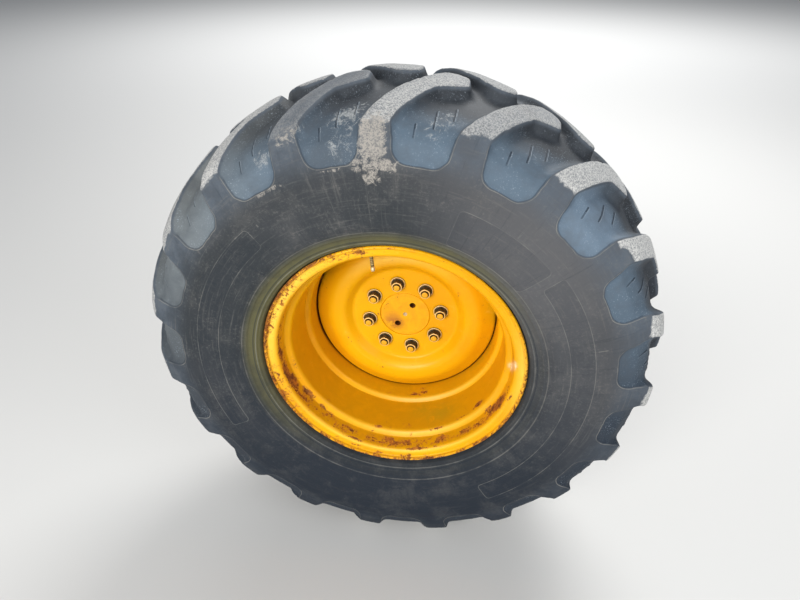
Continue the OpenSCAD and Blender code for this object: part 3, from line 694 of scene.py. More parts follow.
tyre = {
    "middle": 0.533,         # reach of its middle plane
    "radius": 0.640,         # radius at which runs round the tyre are measured
    "lugs": 19,
    "phase": -3.4,           # degrees, turn of the near side's first lug
    # outer section from the crown to below the shoulder, mm: from middle plane, radius, bend
    "tips": [(0, 659.6, 0), (30, 659.4, 60), (127, 648, 220), (190, 627, 60), (213, 608, 6),
             (236, 560, 60), (247.5, 505, 120), (248.2, 470, 0)],
    # floor between the lugs, meeting the outer section at its last point
    "floor": [(0, 632, 0), (120, 622, 300), (188, 601, 50), (222, 572, 40), (243, 520, 60),
              (248.2, 470, 0)],
    # lug seen from above, mm: run round the tyre, distance down the section, bend
    "lug": [(-75, 372, 0), (-38, 285, 40), (-31, 226, 30), (66, 66, 150), (122, -9, 34), (173, -9, 30),
            (175, 62, 10), (112, 94, 16), (31, 226, 30), (38, 285, 40), (75, 372, 0)],
    "lugHalf": 31,           # mm, half of a lug's width at the shoulder
    # how a lug's flanks lean, mm: run round the tyre, distance down the section
    "lean": [(-31, 226), (66, 66), (118, -9)],
    "pocketEnd": 311,        # mm down the section, where the pockets end on the side
    "pocketCorner": 26,      # mm, rounding of the pocket's end
    # height of the tread over the pocket's floor, by mm outside the lug's edge
    "flank": [(-7, 1), (-2, 0.99), (0, 0.95), (2, 0.84), (9, 0.30), (15, 0.10), (24, 0)],
    # ribs in each pocket, mm: run from the lug's middle, and from where to where down the section
    "ribs": [(87, 213, 247), (126, 156, 219), (164, 133, 184)],
    "ribShade": 3.4,         # mm from a rib to the dark line beside it
    # how pale the lug tops are, by turn in degrees: wear, and painted light that makes the right-hand tops
    # paler
    "wearAndLight": [(-60, 0.60), (-41, 0.72), (-22, 0.12), (-3, 0.60), (16, 0.46), (35, 0.74), (54, 0.88),
             (92, 0.95), (160, 0.6), (230, 0.5)],
    # lumps: height in mm, size in metres, seed; on the lugs' edges, on the whole tread, on the side
    "edgeLumps": [(0.9, 0.012, 5), (0.8, 0.03, 6)],
    "treadLumps": (0.35, 0.035, 8),
    "sideLumps": (0.5, 0.09, 9),
    "sideFrom": (345, 60),   # mm: radius at which the side's lumps start, and way to their full height
    # chips in the lugs' edges: depth as a share of the lug's height, size in metres, seed; and the
    # noise above which there is one, with its reach from the edge in mm
    "chips": (0.22, 0.009, 7),
    "chipped": (0.45, 5),
    "ribShape": (0.09, 3.2),       # height as a share of the lug's, half width in mm
    # dried mud: turn in degrees, mm down the section, size round and down in mm, strength
    "mud": [(-3.6, 262, 34, 50, 1.2), (-3.4, 312, 60, 14, 0.85), (-4.2, 334, 24, 18, 0.75),
            (-12, 178, 40, 44, 0.62), (-8, 205, 30, 30, 0.5), (-11, 262, 44, 40, 0.34),
            (-28, 232, 30, 30, 0.46), (-29, 314, 46, 5, 0.5), (-14, 316, 44, 4, 0.5),
            (-21, 228, 34, 26, 0.5), (7, 200, 34, 60, 0.34)],
    # side from the tread's edge to the bead's toe, mm: from middle plane, radius, bend
    "side": [(248.2, 470, 0), (248.6, 440, 110), (243, 392, 70), (229, 360, 30), (222, 344, 12),
             (216.5, 335.2, 7), (205, 332.0, 4), (193.2, 331.8, 13), (193.2, 309, 3), (190, 305.6, 0),
             (154, 301.8, 0)],
    "liner": [(154, 301.8, 0), (157, 342, 30), (226, 398, 60), (236, 455, 110), (220, 531, 80),
              (165, 594, 60), (0, 608, 0)],
    # mould rings on the side: radius, height and half width in mm
    "rings": [(343, 1.2, 2.2), (349.5, 1.0, 1.7), (366, 1.5, 2.4), (378, 0.7, 1.6)],
    # raised bands of the side: from turn to turn in degrees, from radius to radius and corner in mm
    "panels": [(18, 47.5, 376, 466, 10), (50.5, 146, 425, 479, 8), (242, 319, 430, 483, 8),
               (322.4, 322.6, 428, 478, 0.1), (33.9, 34.1, 470, 512, 0.1), (74.9, 75.1, 485, 507, 0.1)],
    # mm down the section: from, to, step of the tread's rows
    "rows": [(0, 70, 4.6), (70, 214, 4.6), (214, 238, 2.3), (238, 292, 4.8), (292, 332, 2.7), (332, 366, 6)],
    "spacing": 3.8,          # mm between the tread's columns
    "closeColumns": (-3.5, -1.2, 0.8, 3, 6, 9),   # mm outside each flank
    "parts": [5, 5, 5, 4],   # lugs in each piece of the tread
    "limit": 0.6598,         # radius that nothing passes
    "farWear": 0.6,          # how pale the far row's lug tops are
    "flat": 216,             # mm from the middle plane, beyond which the side is outside the bead
    "panelRows": 285,        # mm down the section, beyond which the tread's rows lie on the side
    "far": 99.0,             # mm, stands for far away from any band or rib
    "plain": {"edge": -99.0, "down": 400.0, "rib": 99.0, "ribShade": 99.0},   # on the sides
}


def treadGrid():
    # columns run beside the lugs' flanks, closer together there; rows run down the section
    pitch = circle * tyre["radius"] / mm / tyre["lugs"]
    half = tyre["lugHalf"]
    flanks = [(-half, -1), (half, 1), (pitch / 2 - half, -1), (pitch / 2 + half, 1)]
    edges = [place + away * offset for place, away in flanks for offset in tyre["closeColumns"]]
    start = -half - 14
    edges = np.concatenate([[0], np.sort((np.array(edges) - start) % pitch), [pitch]])
    columns = denser(np.stack([edges, 0 * edges], -1), tyre["spacing"])[:-1, 0] + start
    rows = np.concatenate([np.arange(a, b, step) for a, b, step in tyre["rows"]])
    return columns, rows, pitch


def toSegment(run, along, x, low, high):
    # distance to a straight line at x that goes from low to high
    return np.hypot(run - x, along - np.clip(along, low, high))


def panelDistance(turn, radius):
    # mm outside the nearest rounded band of the side, negative inside one
    nearest = np.full(np.broadcast(turn, radius).shape, tyre["far"])
    for first, last, low, high, corner in tyre["panels"]:
        fromMiddle = (turn - (first + last) / 2 + 180) % 360 - 180
        across = (np.abs(fromMiddle) - (last - first) / 2) * math.pi / 180 * radius + corner
        up = np.abs(radius - (low + high) / 2) - (high - low) / 2 + corner
        outside = np.hypot(np.maximum(across, 0), np.maximum(up, 0)) - corner
        nearest = np.minimum(nearest, outside + np.minimum(np.maximum(across, up), 0))
    return nearest


def lugDistances(run, along, pitch):
    # mm outside the nearest lug of either row, negative inside, and mm from the nearest rib and
    # from the dark line beside it; the far row is the near one's mirror image, half a pitch round
    lug = roundedPath(tyre["lug"], 12)
    distance = np.full(run.shape, 1e3)
    rib, shade = distance.copy(), distance.copy()
    for k in (-2, -1, 0, 1):
        for shift, side in ((k * pitch, 1), ((k + 0.5) * pitch, -1)):
            distance = np.minimum(distance, planDistance(np.stack([run - shift, side * along], -1), lug))
            for x, low, high in tyre["ribs"]:
                rib = np.minimum(rib, toSegment(run - shift, side * along, x, low, high))
                beside = x - tyre["ribShade"]
                shade = np.minimum(shade, toSegment(run - shift, side * along, beside, low, high))
    # the pockets end on the side: a smooth least value of both distances rounds their corners
    toEnd = tyre["pocketEnd"] - np.abs(along)
    blend = np.clip(0.5 + 0.5 * (toEnd - distance) / tyre["pocketCorner"], 0, 1)
    distance = toEnd + (distance - toEnd) * blend - tyre["pocketCorner"] * blend * (1 - blend)
    return distance, rib, shade


def mudCover(turn, down):
    # flat-topped spots of mud: each falls off with the fourth power of the way from its middle
    mud = 0
    for middle, row, length, width, strength in tyre["mud"]:
        across = ((turn - middle + 180) % 360 - 180) * math.pi / 180 * tyre["radius"] / mm
        mud = np.maximum(mud, strength * np.exp(-(across / length) ** 4 - ((down - row) / width) ** 4))
    return mud


def makeTread(material):
    columns, rows, pitch = treadGrid()
    tips, floor = denser(roundedPath(tyre["tips"]), 2), denser(roundedPath(tyre["floor"]), 2)
    lastRow = lengthAlong(tips)[-1]
    rows = np.append(rows[rows < lastRow - 3], lastRow)
    # q is the signed way down the section, columns lean with the lugs: run = place + lean(|q|)
    q = np.concatenate([-rows[:0:-1], rows])[:, None]
    leanRun, leanDown = np.array(tyre["lean"]).T
    run = columns + np.interp(-np.abs(q), -leanDown, leanRun) + tyre["lugHalf"]
    fields = lugDistances(run, np.broadcast_to(q, run.shape), pitch)
    distance, rib, shade = (np.tile(field, tyre["lugs"]) for field in fields)
    onTips = resampled(tips, np.abs(q[:, 0]))
    onFloor = resampled(floor, np.abs(q[:, 0]) * lengthAlong(floor)[-1] / lastRow)
    side = np.sign(q)
    turns = np.radians(tyre["phase"]) + circle * np.arange(tyre["lugs"])[:, None] / tyre["lugs"]
    angle = (turns + run[:, None] * mm / tyre["radius"]).reshape(len(q), -1)
    straight = np.degrees(turns + columns * mm / tyre["radius"]).ravel()
    # lugs rise from floor to tips by their flank's profile, with noise in the edges and chips
    rough = places(angle, onTips[:, 1:] * mm, tyre["middle"] + side * onTips[:, :1] * mm)
    for height, size, seed in tyre["edgeLumps"]:
        distance = distance + height * lumps(rough, size, seed)
    (depth, size, seed), (least, near) = tyre["chips"], tyre["chipped"]
    chips = np.clip(lumps(rough, size, seed) - least, 0, 1) * np.exp(-(distance / near) ** 2)
    ribRise, ribHalf = tyre["ribShape"]
    rise = np.interp(distance, *np.array(tyre["flank"]).T)
    rise = rise - depth * chips + ribRise * np.clip(1 - rib / ribHalf, 0, 1)
    height, size, seed = tyre["treadLumps"]
    radius = onFloor[:, 1:] + rise * (onTips - onFloor)[:, 1:] + height * lumps(rough, size, seed)
    radius = np.minimum(radius * mm, tyre["limit"])
    away = (onFloor[:, :1] + rise * (onTips - onFloor)[:, :1]) * mm
    points = places(angle, radius, tyre["middle"] + side * away)
    onSide = np.abs(q) > tyre["panelRows"]
    facts = {
        "edge": distance, "down": np.broadcast_to(np.abs(q), distance.shape), "rib": rib, "ribShade": shade,
        "wearAndLight": np.where(q > 0, np.interp(straight, *np.array(tyre["wearAndLight"]).T, period=360), tyre["farWear"]),
        "mud": mudCover(straight, q),
        "panel": panelDistance(np.degrees(angle), np.where(onSide, radius / mm, 0)),
    }
    first = 0
    for number, lugs in enumerate(tyre["parts"]):
        last = first + lugs * len(columns)
        take = np.arange(first, last + 1) % angle.shape[1]
        quads = gridFaces((len(q), len(take)), False, False)
        values = {key: fact[:, take] for key, fact in facts.items()}
        makePiece(f"tread{number}", points[:, take], quads, material, ("tyre",), values, False)
        first = last
    return points[-1], points[0]


def makeSides(material, nearEdge, farEdge):
    # each side is a section turned about the axis, its first row shared with the tread
    path = denser(roundedPath(tyre["side"]), 2.2)
    lift = sum(h * np.exp(-((path[:, 1] - r) / w) ** 2) for r, h, w in tyre["rings"])
    path = path - directions(path)[1] * (lift * (path[:, 0] > tyre["flat"]))[:, None]
    whole = np.vstack([path, denser(roundedPath(tyre["liner"]), 30)[1:]])
    outer = np.where(whole[:, :1] > tyre["flat"], whole[:, 1:], 0)
    for name, edge, side in (("sideOuter", nearEdge[::4], 1), ("sideInner", farEdge[::4], -1)):
        turn = np.arctan2(edge[:, 0], edge[:, 2])
        points = places(turn, whole[:, 1:] * mm, tyre["middle"] + side * whole[:, :1] * mm)
        # the side waves by half a millimetre, and not at all by the rim
        (height, size, seed), (low, soft) = tyre["sideLumps"], tyre["sideFrom"]
        wave = height * mm * lumps(points, size, seed)[..., None]
        wave = wave * np.clip((whole[:, 1:, None] - low) / soft, 0, 1)
        points = points + wave * np.array([0, side, 0])
        points[0] = edge
        facts = {key: np.full(points.shape[:2], value) for key, value in tyre["plain"].items()}
        facts["panel"] = panelDistance(np.degrees(turn), outer)
        quads = gridFaces(points.shape, False, True)[:, ::side]
        makePiece(name, points, quads, material, ("tyre",), facts, False)


# Rim

rim = {
    "turnSteps": 264,
    "thickness": 8,
    # middle line of the sheet, mm: from the middle plane, radius, bend
    "line": [(207, 325.6, 0), (198, 327, 9), (198, 301, 8), (155, 296.8, 9), (146, 280, 9), (36, 275, 8),
             (27, 262, 8), (-8, 257, 60), (-82, 257, 24), (-144, 293, 20), (-152, 296.5, 10),
             (-198, 301, 8), (-198, 327, 9), (-207, 325.6, 0)],
    "dents": (0.0007, 0.11, 11),   # depth as a share of the radius, size in metres, seed
    # spots: turn, radius, reach, size round, size across, strength
    "rust": [
        (110, 293.5, 716, 26, 12, 1.5), (114, 293.5, 710, 30, 14, 1.7), (118, 293, 702, 24, 11, 1.6),
        (122, 291, 692, 20, 7, 1.0), (131, 293.5, 718, 26, 9, 0.95), (154, 293, 708, 18, 15, 1.2),
        (166, 297, 729, 50, 5, 1.1), (172, 293, 706, 16, 11, 1.05), (183, 293, 699, 22, 6, 1.1),
        (187, 293, 715, 9, 8, 1.0), (195, 294, 714, 12, 12, 0.95), (200, 297, 729, 26, 5, 1.05),
        (204, 293, 709, 9, 9, 1.0), (214, 294, 719, 12, 10, 1.0), (218, 292, 696, 20, 7, 1.05),
        (224, 291, 691, 16, 6, 1.0), (236, 291, 690, 24, 8, 1.5), (248, 293.5, 710, 34, 14, 1.6),
        (254, 294, 717, 36, 12, 1.6), (267, 294, 717, 34, 11, 1.25), (278, 296, 724, 40, 7, 0.9),
        (256, 284, 682, 24, 6, 0.9), (246, 320, 739, 20, 9, 1.1), (284, 322, 740, 120, 7, 0.85),
        (248, 313, 736, 100, 13, 0.66), (300, 313, 736, 130, 13, 0.68), (190, 316, 738, 240, 9, 0.50),
        (340, 313, 736, 90, 12, 0.60),
        (127, 271.5, 667, 20, 9, 1.5), (135, 272, 674, 40, 5, 1.1), (178, 272, 674, 46, 4, 0.95),
        (174, 271, 662, 12, 7, 0.95), (155, 280, 680, 26, 5, 0.8), (190, 277, 679, 14, 5, 0.95),
        (223.5, 271, 670, 9, 6, 1.3), (166, 253.5, 546, 20, 8, 1.25), (172, 254, 549, 11, 9, 1.15),
        (168, 253, 530, 14, 6, 0.9), (188, 254, 553, 7, 5, 1.1), (277, 254, 553, 7, 5, 0.9),
        (312, 297, 716, 16, 9, 0.9), (86, 303, 736, 12, 4, 0.9), (104, 304, 736, 18, 5, 0.9),
    ],
    # painted highlights on the flange, the steps and the well, as spots
    "paintedHighlight": [(296, 314, 737, 190, 15, 1.0), (88, 318, 738, 110, 12, 0.8), (185, 302, 735, 330, 5, 0.8),
              (165, 284, 683, 230, 6, 0.8), (160, 263, 565, 180, 6, 0.8)],
    # rust on the flange's edge, mm: from the middle plane, radius, and way to its full strength;
    # then that strength by turn
    "edgeFrom": (202, 318, 5),
    "edge": [(0, 0.35), (30, 0.2), (60, 0.3), (85, 0.5), (100, 0.6), (130, 0.75), (165, 0.7), (200, 0.75),
             (245, 0.85), (270, 0.9), (300, 0.9), (330, 0.7)],
    "green": [(154, 271, 628, 48, 34, 0.6), (166, 271, 606, 34, 26, 0.5), (112, 253, 524, 100, 14, 0.5)],
    "chip": [(84.5, 297, 731, 8, 6, 1.4), (86.5, 294, 720, 8, 8, 1.4), (89, 293, 706, 8, 9, 1.4),
             (91.5, 292, 693, 8, 7, 1.3)],
    # rust specks on the outer bead seat, by turn: strength
    "seat": [(0, 0.1), (60, 0.1), (95, 0.3), (110, 0.7), (130, 0.6), (150, 0.65), (180, 0.7), (205, 0.65),
             (225, 0.5), (240, 0.7), (260, 0.7), (285, 0.4), (310, 0.4), (340, 0.2)],
    "seatReach": (712, 16),  # mm, middle and spread of those specks
    "seatRadius": 306,       # mm, above which there are none
    # reach at which the painted shadow in the gap beside the disc ends, by turn
    "gap": [(0, 514), (60, 520), (77, 546), (84, 540), (93, 514), (140, 511.5), (220, 512), (260, 516),
            (282, 519), (292, 530), (305, 548), (320, 520), (340, 514)],
    # how thick the painted shade and brown film lie, by turn
    "shadeAndGrime": [(0, 0.1), (80, 0), (98, 0.15), (118, 0.5), (140, 0.8), (180, 1), (225, 0.9), (262, 0.6),
              (288, 0.4), (305, 0.1), (330, 0.1)],
}


def makeRim(material):
    # the sheet's middle line, given its thickness and round ends, and turned about the axis
    path = denser(roundedPath(rim["line"], 9), 8)
    outline = sheetOutline(path, rim["thickness"])
    turn = fullTurn(rim["turnSteps"])
    byTurn = {key: np.interp(np.degrees(turn), *np.array(rim[key]).T, period=360)
              for key in ("edge", "seat", "gap", "shadeAndGrime")}
    points = places(turn, outline[:, 1:] * mm, tyre["middle"] + outline[:, :1] * mm)
    # small dents move the sheet in or out by less than a thousandth of its radius
    depth, size, seed = rim["dents"]
    dent = 1 + depth * lumps(points, size, seed)[..., None]
    points = points * np.where([True, False, True], dent, 1)
    reach = -points[..., 1] / mm
    *corner, soft = rim["edgeFrom"]
    onEdge = np.clip((outline - corner) / soft, 0, 1).prod(1, keepdims=True)
    middle, spread = rim["seatReach"]
    onSeat = np.exp(-((reach - middle) / spread) ** 2) * (outline[:, 1:] < rim["seatRadius"])
    # painted shade with a brown film lies where the inner face, the outline's second half, runs level along
    # the axis and so faces it; the table by turn makes it heaviest at the wheel's bottom
    row = np.arange(len(outline))[:, None] - len(path) - endPoints
    inner = (row > 0) & (row < len(path))
    level = np.clip(1.6 * np.abs(directions(outline)[0][:, :1]) - 0.75, 0, 0.85)
    facts = {key: spots(points, rim[key]) for key in ("rust", "green", "chip", "paintedHighlight")}
    facts["rust"] = np.maximum(facts["rust"], np.maximum(onEdge * byTurn["edge"], onSeat * byTurn["seat"]))
    # painted shadow in the gap beside the disc, tinted red like rust, as wide as the table by turn says
    facts["dark"] = np.clip((byTurn["gap"] - reach) / 2.5, 0, 1) * (reach > disc["back"])
    facts["shadeAndGrime"] = inner * level * byTurn["shadeAndGrime"]
    quads = gridFaces(points.shape, True, True)
    makePiece("rimRolled", points, quads, material, ("rim",), facts)


# Disc

disc = {
    "thickness": 12,
    # middle line of the pressed sheet outside its flat middle, mm: radius, reach, bend
    "line": [(138, 506, 0), (150, 506, 20), (173, 533, 22), (204, 533, 40), (246.6, 506, 12),
             (246.6, 480, 0)],
    "face": 512,             # mm, reach of its outer face
    "back": 500,
    # wall of the middle bore, mm: radius, reach
    "bore": [(71.4, 512), (70, 510.6), (70, 501.4), (71.4, 500)],
    # from the flat face into a stud's hole and out at the back, mm: radius round the stud, reach
    "hole": [(23.2, 512), (22.7, 511.8), (22.3, 511.1), (21.8, 511), (10.5, 511), (10, 510.5),
             (10, 500.4), (10.4, 500)],
    "studs": 8,
    "circle": 203.2,
    "phase": -11.8,
    "steps": (16, 16, 32),   # points along the inner edge, the sides and the outer edge of a stud's share
    "rings": 7,              # rows of points from those edges to the hole, on the front and on the back
    # painted shadow in the gap beside the rim, on the turned edge from one radius to the other, in front of a
    # reach, mm
    "dark": (249.6, 251.0, 480),
    "rust": [(265, 74, 512, 5, 4, 0.7), (310, 225, 535, 8, 5, 0.6), (200, 185, 539, 7, 4, 0.6),
             (235, 160, 530, 8, 5, 0.6), (330, 128, 512, 5, 4, 0.6), (75, 222, 535, 7, 5, 0.5),
             (228, 120, 512, 5, 4, 0.6), (242, 175, 539, 14, 5, 0.6)],
    # painted highlights on the bulge beside the valve and on its lower inner slope, as spots
    "paintedHighlight": [(-8, 193, 541, 115, 14, 1.0), (-32, 199, 540, 50, 12, 0.7), (175, 166, 527, 60, 8, 0.5)],
}


def studTurns():
    return np.radians(disc["phase"] + 360 * np.arange(disc["studs"]) / disc["studs"])


def roundStud(across, up, reach, turn):
    # point given by its place round a stud: across, and up from the stud's middle, in mm
    return turned(across, up + disc["circle"] / 2, reach, turn)


def makeDisc(material):
    half, sheet = math.pi / disc["studs"], disc["thickness"] / 2
    low, sides, high = disc["steps"]
    bore, edge = disc["bore"][0][0], disc["line"][0][0]
    # border of a stud's share of the flat middle, one way round from the bore's corner
    turn = np.concatenate([np.linspace(-half, half, low, False), np.full(sides, half),
                           np.linspace(half, -half, high, False), np.full(sides, -half)])
    radius = np.concatenate([np.full(low, bore), np.linspace(bore, edge, sides, False),
                             np.full(high, edge), np.linspace(edge, bore, sides, False)])
    border = np.stack([radius * np.sin(turn), radius * np.cos(turn) - disc["circle"] / 2], -1)
    # rows of points shrink from the border to the hole's circle, go through it and widen again
    way = border / np.linalg.norm(border, axis=1)[:, None]
    holeR, holeReach = np.array(disc["hole"], float).T
    rings = disc["rings"]
    spread = np.linspace(1, 0, rings + 1)[:-1, None, None]
    front = way * holeR[0] + (border - way * holeR[0]) * spread
    back = way * holeR[-1] + (border - way * holeR[-1]) * spread[::-1]
    share = np.concatenate([front, way * holeR[:, None, None], back])
    reach = np.concatenate([np.full(rings, disc["face"]), holeReach, np.full(rings, disc["back"])])[:, None]
    grids = [roundStud(share[..., 0], share[..., 1], reach, t) for t in studTurns()]
    # the pressed part and the bore's wall are sections turned about the axis
    start = math.radians(disc["phase"]) - half
    path = denser(roundedPath(disc["line"]), 4)
    ahead, side = directions(path)
    side[0] = (0, -1)
    end = halfRound(path[-1], -side[-1], ahead[-1], sheet)
    outline = np.vstack([path - sheet * side, end, (path + sheet * side)[::-1]])
    for section, steps in ((outline, high), (np.array(disc["bore"]), low)):
        turn = start + fullTurn(steps * disc["studs"])
        grids.append(places(turn, section[:, :1] * mm, section[:, 1:] * mm))
    quads, first = [], 0
    for points in grids:
        quads.append(gridFaces(points.shape, False, True, first))
        first += points.shape[0] * points.shape[1]
    points = np.vstack([points.reshape(-1, 3) for points in grids])
    radius, reach = np.hypot(points[:, 0], points[:, 2]) / mm, -points[:, 1] / mm
    darkFrom, darkTo, darkReach = disc["dark"]
    facts = {key: spots(points, disc[key]) for key in ("rust", "paintedHighlight")}
    # painted shadow in the gap beside the rim, on the disc's turned edge
    facts["dark"] = np.interp(radius, [darkFrom, darkTo], [0, 1]) * (reach > darkReach)
    quads = np.vstack(quads)
    makePiece("discPressed", points, quads, material, ("disc",), facts, False, True)


# Nuts and studs

fixing = {
    "seat": 511,             # mm, reach of the spot face under a nut
    "flats": 28,             # mm across
    "height": 23,
    "sideSteps": (0, 2.5, 10, 30, 50, 57.5),   # degrees from a corner, in each of the six sides
    "twist": 17,             # degrees that each nut is turned further than the one before
    "cone": (1, 1.14),       # mm inside the flats at a nut's top, and how much wider per mm below it
    # nut's section up from its seat, mm: radius, height
    "collar": [(9.3, 0.1), (20.0, 0.1), (20.5, 0.5), (20.5, 2.9), (20.2, 3.4), (19.0, 4.0), (17.5, 4.1)],
    "hex": [4.1, 4.6, 12.0, 19.0, 20.2, 21.2, 22.2, 22.8, 23.0],
    "bore": [(12.6, 23.0), (10.2, 23.0), (9.9, 22.7), (9.3, 21.8)],
    # yellow paint, turned pale there as a painted highlight, shows beyond these pairs, mm above the seat and
    # from the middle, and thinly elsewhere
    "worn": [(3.3, 18.6), (21.9, 12)],
    "thin": 0.08,
    "steps": 28,             # points round a stud
    # stud's section from its head behind the hub to its tip, mm: radius, reach
    "stud": [(0, 469), (12.5, 469), (13, 469.5), (13, 473.6), (12.6, 474), (9, 474), (9, 528)],
    "tip": [(8.9, 536.8), (8.2, 538.0), (7.2, 538.7), (4, 538.95), (0, 539)],
    "thread": (529, 536.6, 0.4),   # mm, from, to, and step of the threaded rows
    "threadPitch": 1.5,
    "threadRadius": (8.7, 0.3),    # mm, middle and half height
    "tipPaint": [(530, 0.0), (534, 0.2), (537.5, 0.4), (538.5, 0.86)],   # by reach, how much paint
}


def atStuds(radius, turn, reach, wrapRows, twist=0.0):
    # the same turned section at each stud, and the points' quads
    points, quads = [], []
    for number, stud in enumerate(studTurns()):
        at = turn + math.radians(twist * number)
        points.append(roundStud(radius * np.sin(at), radius * np.cos(at), reach, stud))
        quads.append(gridFaces(radius.shape, wrapRows, True, number * radius.size))
    return np.concatenate(points), np.vstack(quads)


def makeNuts(material):
    corners = np.arange(6)[:, None] * 60 + np.array(fixing["sideSteps"])
    turn = np.radians(corners.ravel())
    flat = fixing["flats"] / 2
    # a hexagon's radius is half its flats divided by the cosine of the turn from a side's middle
    hexagon = flat / np.cos((turn % math.radians(60)) - math.radians(30))
    level = np.array(fixing["hex"])[:, None]
    # its top corners are turned off to a cone
    inset, slope = fixing["cone"]
    cone = flat - inset + slope * (fixing["height"] - level)
    foot, hole = np.array(fixing["collar"], float), np.array(fixing["bore"], float)
    around = np.ones(len(turn))
    radius = np.vstack([foot[:, :1] * around, np.minimum(hexagon, cone), hole[:, :1] * around])
    height = np.vstack([foot[:, 1:], level, hole[:, 1:]])
    points, quads = atStuds(radius, turn, fixing["seat"] + height, True, fixing["twist"])
    # yellow paint with a pale painted highlight lies along the collar's and the top's edges
    onEdge = np.any([(height > low) & (radius > least) for low, least in fixing["worn"]], 0)
    facts = {"paint": np.tile(np.where(onEdge, 1.0, fixing["thin"]).ravel(), disc["studs"])}
    makePiece("nuts", points, quads, material, ("wheel_nuts",), facts)


def makeStuds(material):
    low, high, step = fixing["thread"]
    level = np.arange(low, high, step)
    turn = fullTurn(fixing["steps"])
    # a section turned about the stud, whose thread climbs one pitch for each turn
    middle, half = fixing["threadRadius"]
    thread = middle + half * np.cos(circle * (level[:, None] / fixing["threadPitch"] - turn / circle))
    body, tip = np.array(fixing["stud"], float), np.array(fixing["tip"], float)
    radius = np.vstack([np.tile(body[:, :1], len(turn)), thread, np.tile(tip[:, :1], len(turn))])
    reach = np.concatenate([body[:, 1], level, tip[:, 1]])[:, None]
    points, quads = atStuds(radius, turn, reach, False)
    painted = np.interp(reach, *np.array(fixing["tipPaint"]).T) + 0 * radius
    facts = {"paint": np.tile(painted.ravel(), disc["studs"])}
    makePiece("studs", points, quads, material, ("wheel_studs",), facts, joined=True)


# Valve

valve = {
    "turn": -15,             # degrees
    "foot": (638.7, 269.2),  # mm: reach and radius of the foot's top
    "lean": (0.5388, -0.8424),   # direction of the tube, in reach and radius
    # section along the tube from inside the rim to the tip, mm: distance from the foot's top, radius
    "shape": [(-12, 0), (-12, 7), (-5.2, 7), (-5, 11.6), (-4, 11.8), (-1, 6.8), (0.5, 5.8), (1.5, 4.8)],
    "tube": (2, 37, 0.7),    # mm, from, to, and step of the ribbed rows
    "ribs": (4.6, 0.4, 4.2),       # mm: middle radius, half height and pitch
    "steps": 28,             # points round the tube
    "bareFrom": (40, 43),    # mm from the foot's top, from none to all bare
    "groove": (4.3, 4.9),    # mm, radius at which a groove is darkest and at which it is not darkened
    "dull": ((0.30, 0.23, 0.08, 1), (0.62, 0.50, 0.24, 1)),
    "bare": ((0.48, 0.38, 0.20, 1), (0.66, 0.56, 0.36, 1)),
    "grooveColour": (0.10, 0.07, 0.015, 1),
    "tip": [(37.5, 3.8), (38.2, 5.2), (42, 5.4), (46.4, 5.4), (47.4, 4.6), (49.6, 4.0), (50, 3.2), (50, 0)],
}


def makeValve(material):
    low, high, step = valve["tube"]
    level = np.arange(low, high, step)
    # ribs follow a cosine along the tube, one to each pitch
    middle, half, pitch = valve["ribs"]
    ribbed = np.stack([level, middle + half * np.cos(circle * level / pitch)], -1)
    section = np.vstack([valve["shape"], ribbed, valve["tip"]])
    away, wide = section[:, :1], section[:, 1:]
    turn = fullTurn(valve["steps"])
    # a point of the tube goes along it, across it in the plane of the wheel axis, and sideways
    (footReach, footRadius), (reachWay, radiusWay) = valve["foot"], valve["lean"]
    across, sideways = wide * np.cos(turn), wide * np.sin(turn)
    reach = footReach + away * reachWay - across * radiusWay
    up = footRadius + away * radiusWay + across * reachWay
    points = turned(sideways, up, reach, math.radians(valve["turn"]))
    onTube = (away > low - 1) & (away < high + 1)
    facts = {
        "bright": np.interp(away, valve["bareFrom"], [0, 1]) + 0 * up,
        "groove": np.interp(wide, valve["groove"], [1, 0]) * onTube + 0 * up,
    }
    quads, stands = gridFaces(points.shape, False, True), ("valve_stem", "valve_cap")
    makePiece("valve", points, quads, material, stands, facts, joined=True)


def valveMaterial():
    # dull olive-brown tube with a bare bright end
    material, tree, shader = startMaterial("valveBrass")
    points = objectPoints(tree)
    fine = grain(tree, points, 240.0, 4.0, 0.7)
    dull, bare = (mixColour(tree, between(tree, fine, 0.38, 0.62), *valve[key]) for key in ("dull", "bare"))
    # the ribs' grooves darker
    dull = mixColour(tree, attribute(tree, "groove"), dull, valve["grooveColour"])
    bright = attribute(tree, "bright")
    shaded(tree, shader, mixColour(tree, bright, dull, bare), between(tree, bright, 0.0, 1.0, 0.55, 0.40),
           between(tree, bright, 0.0, 1.0, 0.3, 0.4))
    bumped(tree, shader, fine, 0.3, 0.0004)
    return material


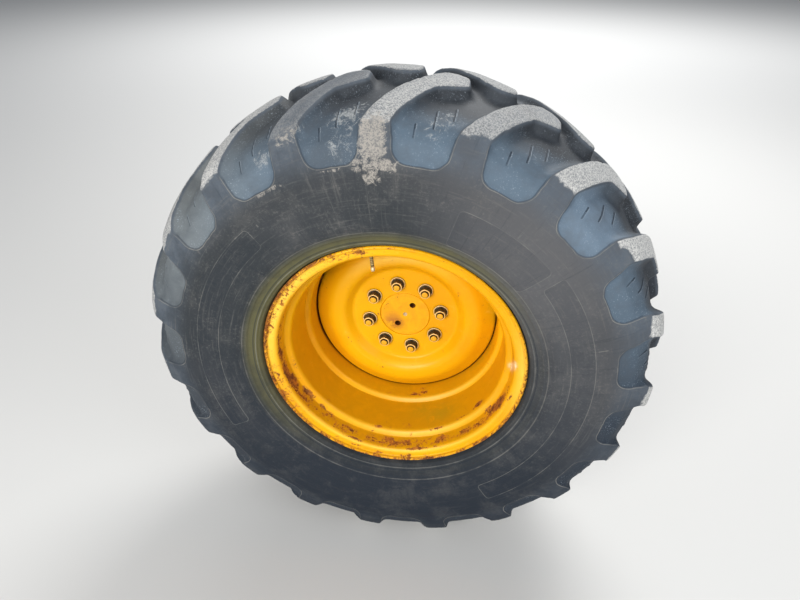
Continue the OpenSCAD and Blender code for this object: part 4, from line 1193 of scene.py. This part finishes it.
# Weld between disc and rim, on the hidden side

weld = {
    "radius": 252.6,         # mm, where it meets the rim
    "reach": 474,            # mm, the disc's edge
    "leg": 9,                # mm
    "bulge": 2.2,            # mm, of the bead's face
    "ripples": 190,          # round the wheel
    "rippled": 0.16,         # share of the bulge that comes and goes
    "columns": 1140,
}


def makeWeld(material):
    turn = fullTurn(weld["columns"])
    t = np.linspace(0, 1, 7)[:, None]
    # the bead's face bulges as a sine between its legs, and each ripple tilts it a little
    ripple = 1 + weld["rippled"] * (np.abs(np.sin(weld["ripples"] * turn / 2)) - 0.5)
    bulge = weld["bulge"] * np.sin(math.pi * t) * ripple
    radius = weld["radius"] - weld["leg"] * (1 - t) - bulge * 0.7
    reach = weld["reach"] - weld["leg"] * t - bulge * 0.7
    corner = np.ones((1, len(turn)))
    radius = np.vstack([radius + 0 * turn, weld["radius"] * corner])
    reach = np.vstack([reach + 0 * turn, weld["reach"] * corner])
    points = places(turn, radius * mm, reach * mm)
    quads = gridFaces(points.shape, True, True)
    makePiece("weldBead", points, quads, material, ("disc_welds",))


# Build

makeCamera()
makeStudio()
bpy.context.scene.view_settings.view_transform = "Standard"
bpy.context.scene.view_settings.look = "None"
tyreRubber = rubberMaterial()
wheelPaint = paintMaterial("wheelPaint")
armPaint = paintMaterial("armPaint", 0.06)
fixingSteel = metalMaterial("fixingSteel")
shaftSteel = metalMaterial("shaftSteel")
hubPaint = hubMaterial()
print("materials done")
nearEdge, farEdge = makeTread(tyreRubber)
makeSides(tyreRubber, nearEdge, farEdge)
makeRim(wheelPaint)
makeDisc(wheelPaint)
makeNuts(fixingSteel)
makeStuds(fixingSteel)
makeValve(valveMaterial())
makeWeld(wheelPaint)
nodeFinish = {
    "axle_shaft": hubPaint, "shaft_nut": fixingSteel, "bearing_cone": shaftSteel,
    "bearing_cup": shaftSteel, "hub_seal": fixingSteel, "axle_arm": armPaint,
}
for nodeName, finish in nodeFinish.items():
    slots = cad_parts[nodeName].data.materials
    slots.clear()
    slots.append(finish)
